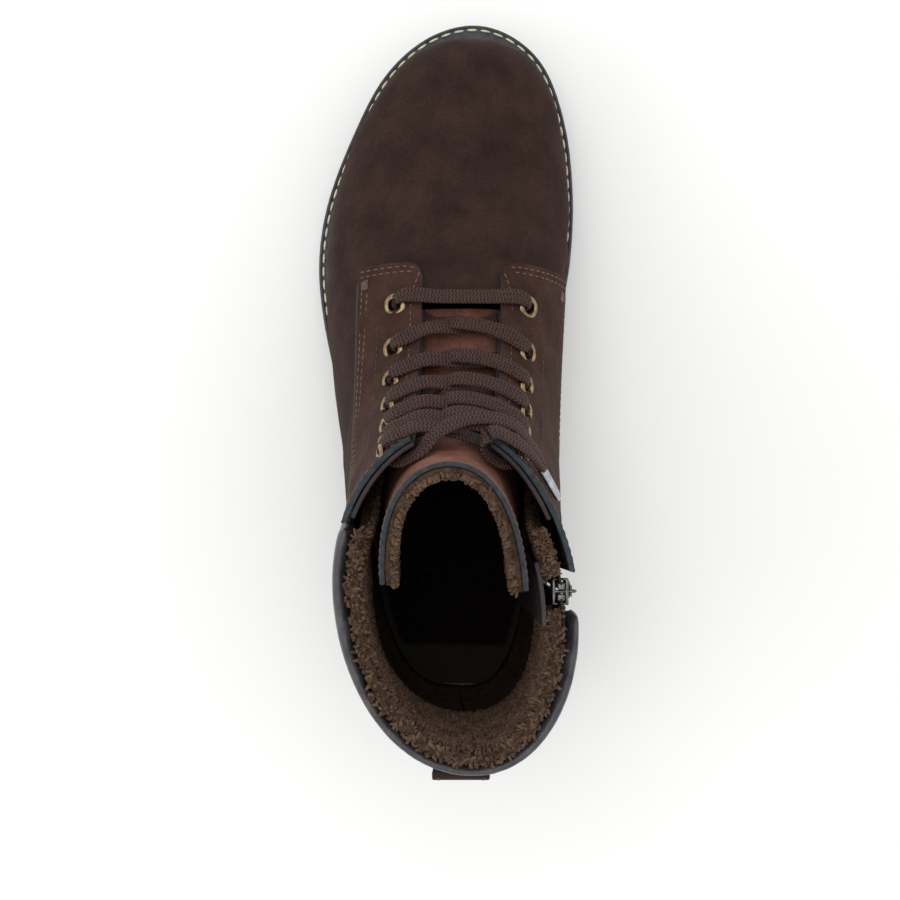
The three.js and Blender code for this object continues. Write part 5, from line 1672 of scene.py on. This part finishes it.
def makePullLoop():
    low, high = [Vector(corner) * 1000 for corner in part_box("heel_pull_loop")]
    thick, margin = loop["thickness"], loop["margin"]
    middle, half = (low.x + high.x) / 2, loop["width"] / 2 - margin
    bottom, top = low.z + thick / 2 + loop["endMargin"], high.z - thick / 2 - loop["endMargin"]
    reach = high.y - low.y - thick / 2 - margin

    def strapAt(angle, x):
        bow = np.sin(angle) ** loop["bow"]
        z = (top + bottom) / 2 + (top - bottom) / 2 * np.cos(angle) * (1 - loop["droop"] * bow)
        return np.stack([x, low.y + margin + reach * bow, z], axis=1) / 1000

    form, u, v = gridForm(loop["folds"], loop["across"])
    moveVerts(form, strapAt(math.pi * u, middle + (v * 2 - 1) * half))
    form.normal_update()
    if sum(face.normal.y for face in form.faces) < 0:
        bmesh.ops.reverse_faces(form, faces=form.faces)
    piece = makePiece("heelPullLoop", form, ["nubuck", "dyedEdge"], ["heel_pull_loop"])
    addModifier(piece, "SOLIDIFY", thickness=thick / 1000, offset=0, material_offset_rim=1)
    softenEdges(piece, loop["edgeRound"])
    angles = np.linspace(loop["seamFrom"], math.pi - loop["seamFrom"], loop["seamPoints"])
    rows = []
    for side in (-1, 1):
        points = strapAt(angles, np.full(len(angles), middle + side * (half - loop["seamInset"])))
        normals = unit(np.cross(np.gradient(points, axis=0), [1.0, 0.0, 0.0]))
        normals *= np.sign(normals[len(angles) // 2, 1])
        rows.append((points + normals * (thick / 2 + 0.05) / 1000, normals))
    stitchRow("pullLoopStitching", rows, "brownThread", "smooth_leather", length=2.1, width=0.6, height=0.45)


makePullLoop()
print("pull loop ready")

# the zip, mm, in its own frame: x across it to the toe side, y up it from its top end, z out of the boot
zipper = {
    "depth": -3.4, "teeth": 24, "pitch": 3.6, "first": -4.75, "toothHead": (1.3, 1.35, 2.1),
    "headPlace": 1.55, "toothRoot": (1.2, 1.0, 2.3), "rootPlace": 2.6, "tapeRows": 90, "tapeColumns": 12,
    "tapeThickness": 0.6, "tapeWidth": 14.0, "tapeDepth": -3.05, "tapeInner": 2.4, "tapeLength": 105,
    "stop": (2.4, 2.4, 2.4), "stopPlace": (1.9, 2, 0),
}
slider = {
    "half": 4.6, "length": 11.0, "plate": 1.2, "plateHeight": 2.2, "flange": (0.8, 1.5), "flangeHeight": 1.4,
    "narrow": 0.92, "post": (0.9, 3, 4.4), "bailPlace": -4.7, "bailThickness": 1.0,
    "bail": [(-2.8, 2.8), (-2.75, 4.4), (-2.1, 5.2), (0, 5.45), (2.1, 5.2), (2.75, 4.4), (2.8, 2.8)],
}
puller = {
    "pinHeight": 3.85, "pinThickness": 0.9, "pinLength": 3.8, "arm": (0.8, 5.2, 0.9), "armPlace": 1.5,
    "bladeFrom": 4.2, "blade": 1.0, "rim": 0.9, "dish": 0.25,
    "outline": [(-1.9, 0), (-3.1, -6), (-3.1, -21.6), (-1.9, -23.8), (1.9, -23.8), (3.1, -21.6), (3.1, -6),
                (1.9, 0)],
}


def zipPoint(z):
    z = np.array([z])
    edge = turnAtPlace(zipS, 1)(z)
    return Vector(toWorld(offSkin(stationAtZ(z, edge), edge, np.array([zipper["depth"]])))[0])


zipHigh, zipLow = zipPoint(last["zipTop"]), zipPoint(last["zipBottom"])
zipUp = (zipHigh - zipLow).normalized()
zipOut = Vector((-1, 0, 0))
zipOut = (zipOut - zipUp * zipOut.dot(zipUp)).normalized()
zipAcross = zipUp.cross(zipOut)
zipFrame = Matrix((zipAcross, zipUp, zipOut)).transposed().to_4x4()
zipFrame.translation = zipHigh


def bevelled(form, offset, segments=2, sharpest=40):
    bmesh.ops.remove_doubles(form, verts=form.verts, dist=merge["spun"])
    inner = [edge for edge in form.edges if len(edge.link_faces) == 2]
    edges = [edge for edge in inner if edge.calc_face_angle(0) > math.radians(sharpest)]
    bmesh.ops.bevel(form, geom=edges, offset=offset / 1000, offset_type="OFFSET", affect="EDGES",
                    segments=segments, profile=0.5, material=-1)


def addBlock(form, size, centre):
    verts = bmesh.ops.create_cube(form, size=1)["verts"]
    for vert in verts:
        vert.co = Vector([vert.co[k] * size[k] / 1000 + centre[k] / 1000 for k in range(3)])
    return verts


def finishMetal(name, form, node, body="boot", sharp=None):
    # out of the zip's frame into the scene
    bmesh.ops.transform(form, matrix=zipFrame, verts=form.verts)
    piece = makePiece(name, form, ["gunmetal"], [node], body)
    if sharp:
        markSharp(piece, sharp)


def makeTeeth(label, side):
    # each tooth is a head that locks and a root cast round the tape's cord
    form = bmesh.new()
    addBlock(form, zipper["toothHead"], (side * zipper["headPlace"], 0, 0))
    addBlock(form, zipper["toothRoot"], (side * zipper["rootPlace"], 0, 0))
    bevelled(form, 0.25, 1)
    tooth = bpy.data.meshes.new("tooth")
    form.to_mesh(tooth)
    form.free()
    form = bmesh.new()
    steps = zipper["first"] - np.arange(zipper["teeth"]) * zipper["pitch"]
    stamp(form, tooth, [zipFrame @ Matrix.Translation((0, y / 1000, 0)) for y in steps])
    bpy.data.meshes.remove(tooth)
    makePiece(label + "ZipTeeth", form, ["gunmetal"], [label + "_zip_teeth"])


def makeTape(label, side):
    # from the teeth to under the leather that it is sewn to
    form, u, v = gridForm(zipper["tapeRows"], zipper["tapeColumns"])
    z = mix(last["zipBottom"] - 4, last["toplineHeight"] - 2, u)
    edge = turnAtPlace(lambda zz: zipS(zz) + side * zipper["tapeWidth"], 1)(z)
    outer = toWorld(offSkin(stationAtZ(z, edge), edge, np.full(len(z), zipper["tapeDepth"])))
    along = (z / 1000 - zipHigh.z) / zipUp.z
    inner = np.array(zipHigh) + along[:, None] * np.array(zipUp)
    inner += np.array(zipAcross) * side * zipper["tapeInner"] / 1000
    moveVerts(form, inner + (outer - inner) * v[:, None])
    mapPiece(form, v, u * zipper["tapeLength"])
    form.normal_update()
    if sum(face.normal.x for face in form.faces) > 0:
        bmesh.ops.reverse_faces(form, faces=form.faces)
    tape = makePiece(label + "ZipTape", form, ["zipTape"], [label + "_zip_tape"])
    addModifier(tape, "SOLIDIFY", thickness=zipper["tapeThickness"] / 1000, offset=0)


def narrowed(verts, below):
    for vert in verts:
        if vert.co.y < below / 1000:
            vert.co.x *= slider["narrow"]


def makeSlider():
    # two plates that narrow towards the closed side, held apart by a post, with side flanges and a bail
    form = bmesh.new()
    half, length = slider["half"], slider["length"]
    middle = -length / 2
    flangeWide, flangeHigh = slider["flange"]
    for z in (slider["plateHeight"], -slider["plateHeight"]):
        narrowed(addBlock(form, (2 * half, length, slider["plate"]), (0, middle, z)), middle)
    addBlock(form, slider["post"], (0, -slider["post"][1] / 2, 0))
    for x in (half - flangeWide / 2, flangeWide / 2 - half):
        for z in (slider["flangeHeight"], -slider["flangeHeight"]):
            narrowed(addBlock(form, (flangeWide, length, flangeHigh), (x, middle, z)), middle)
    bevelled(form, 0.3)
    bail = [Vector((0, y + slider["bailPlace"], z)) / 1000 for y, z in slider["bail"]]
    for start, end in zip(bail, bail[1:]):
        way = end - start
        matrix = Matrix.Translation((start + end) / 2) @ way.to_track_quat("Z", "Y").to_matrix().to_4x4()
        radius = slider["bailThickness"] / 2000
        bmesh.ops.create_cone(form, cap_ends=True, segments=12, radius1=radius, radius2=radius,
                              depth=way.length * 1.12, matrix=matrix)
    bmesh.ops.recalc_face_normals(form, faces=form.faces)
    finishMetal("zipSlider", form, "zip_slider", "slider", 50)


def makePuller():
    # a pin through the bail, two arms and a blade with a dished face
    form = bmesh.new()
    pinY, pinZ = slider["bailPlace"], puller["pinHeight"]
    pin = Matrix.Translation((0, pinY / 1000, pinZ / 1000)) @ Matrix.Rotation(math.pi / 2, 4, "Y")
    radius = puller["pinThickness"] / 2000
    bmesh.ops.create_cone(form, cap_ends=True, segments=16, radius1=radius, radius2=radius,
                          depth=puller["pinLength"] / 1000, matrix=pin)
    for side in (-1, 1):
        addBlock(form, puller["arm"], (side * puller["armPlace"], pinY - 2, pinZ))
    top, back = pinY - puller["bladeFrom"], pinZ - puller["blade"] / 2
    corners = [form.verts.new((x / 1000, (y + top) / 1000, back / 1000)) for x, y in puller["outline"]]
    grown = bmesh.ops.extrude_face_region(form, geom=[form.faces.new(corners)])
    bmesh.ops.translate(form, verts=newOf(grown, bmesh.types.BMVert), vec=(0, 0, puller["blade"] / 1000))
    face = newOf(grown, bmesh.types.BMFace)
    bmesh.ops.recalc_face_normals(form, faces=form.faces)
    bmesh.ops.inset_region(form, faces=face, thickness=puller["rim"] / 1000, depth=0)
    dished = list({vert for each in face for vert in each.verts})
    bmesh.ops.translate(form, verts=dished, vec=(0, 0, -puller["dish"] / 1000))
    bevelled(form, 0.14, sharpest=50)
    finishMetal("zipPuller", form, "zip_puller", "puller", 50)


def makeTopStop(label, side):
    form = bmesh.new()
    x, y, z = zipper["stopPlace"]
    addBlock(form, zipper["stop"], (side * x, y, z))
    bevelled(form, 0.5, 3)
    finishMetal(label + "TopStop", form, label + "_top_stop")


for label, side in (("front", 1), ("rear", -1)):
    makeTeeth(label, side)
    makeTape(label, side)
makeSlider()
makePuller()
for label, side in (("front", 1), ("rear", -1)):
    makeTopStop(label, side)

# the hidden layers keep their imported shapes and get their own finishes
keptNodes = {
    # the insole board takes the near-black painted-shade board finish
    "cork_filler": "groundCork", "shank": "springSteel", "insole_board": "fibreBoardPaintedShade",
    # the footbed takes the knitted ground's painted-shade copy
    "footbed": "knitGroundPaintedShade", "toe_puff": "stiffenerFelt", "heel_counter": "stiffenerFelt",
    "zip_bottom_stop": "gunmetal", "zip_guard": "facingLeather",
}
for node, each in keptNodes.items():
    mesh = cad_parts[node].data
    mesh.materials.clear()
    mesh.materials.append(finish[each])
print("zip and hidden layers ready")
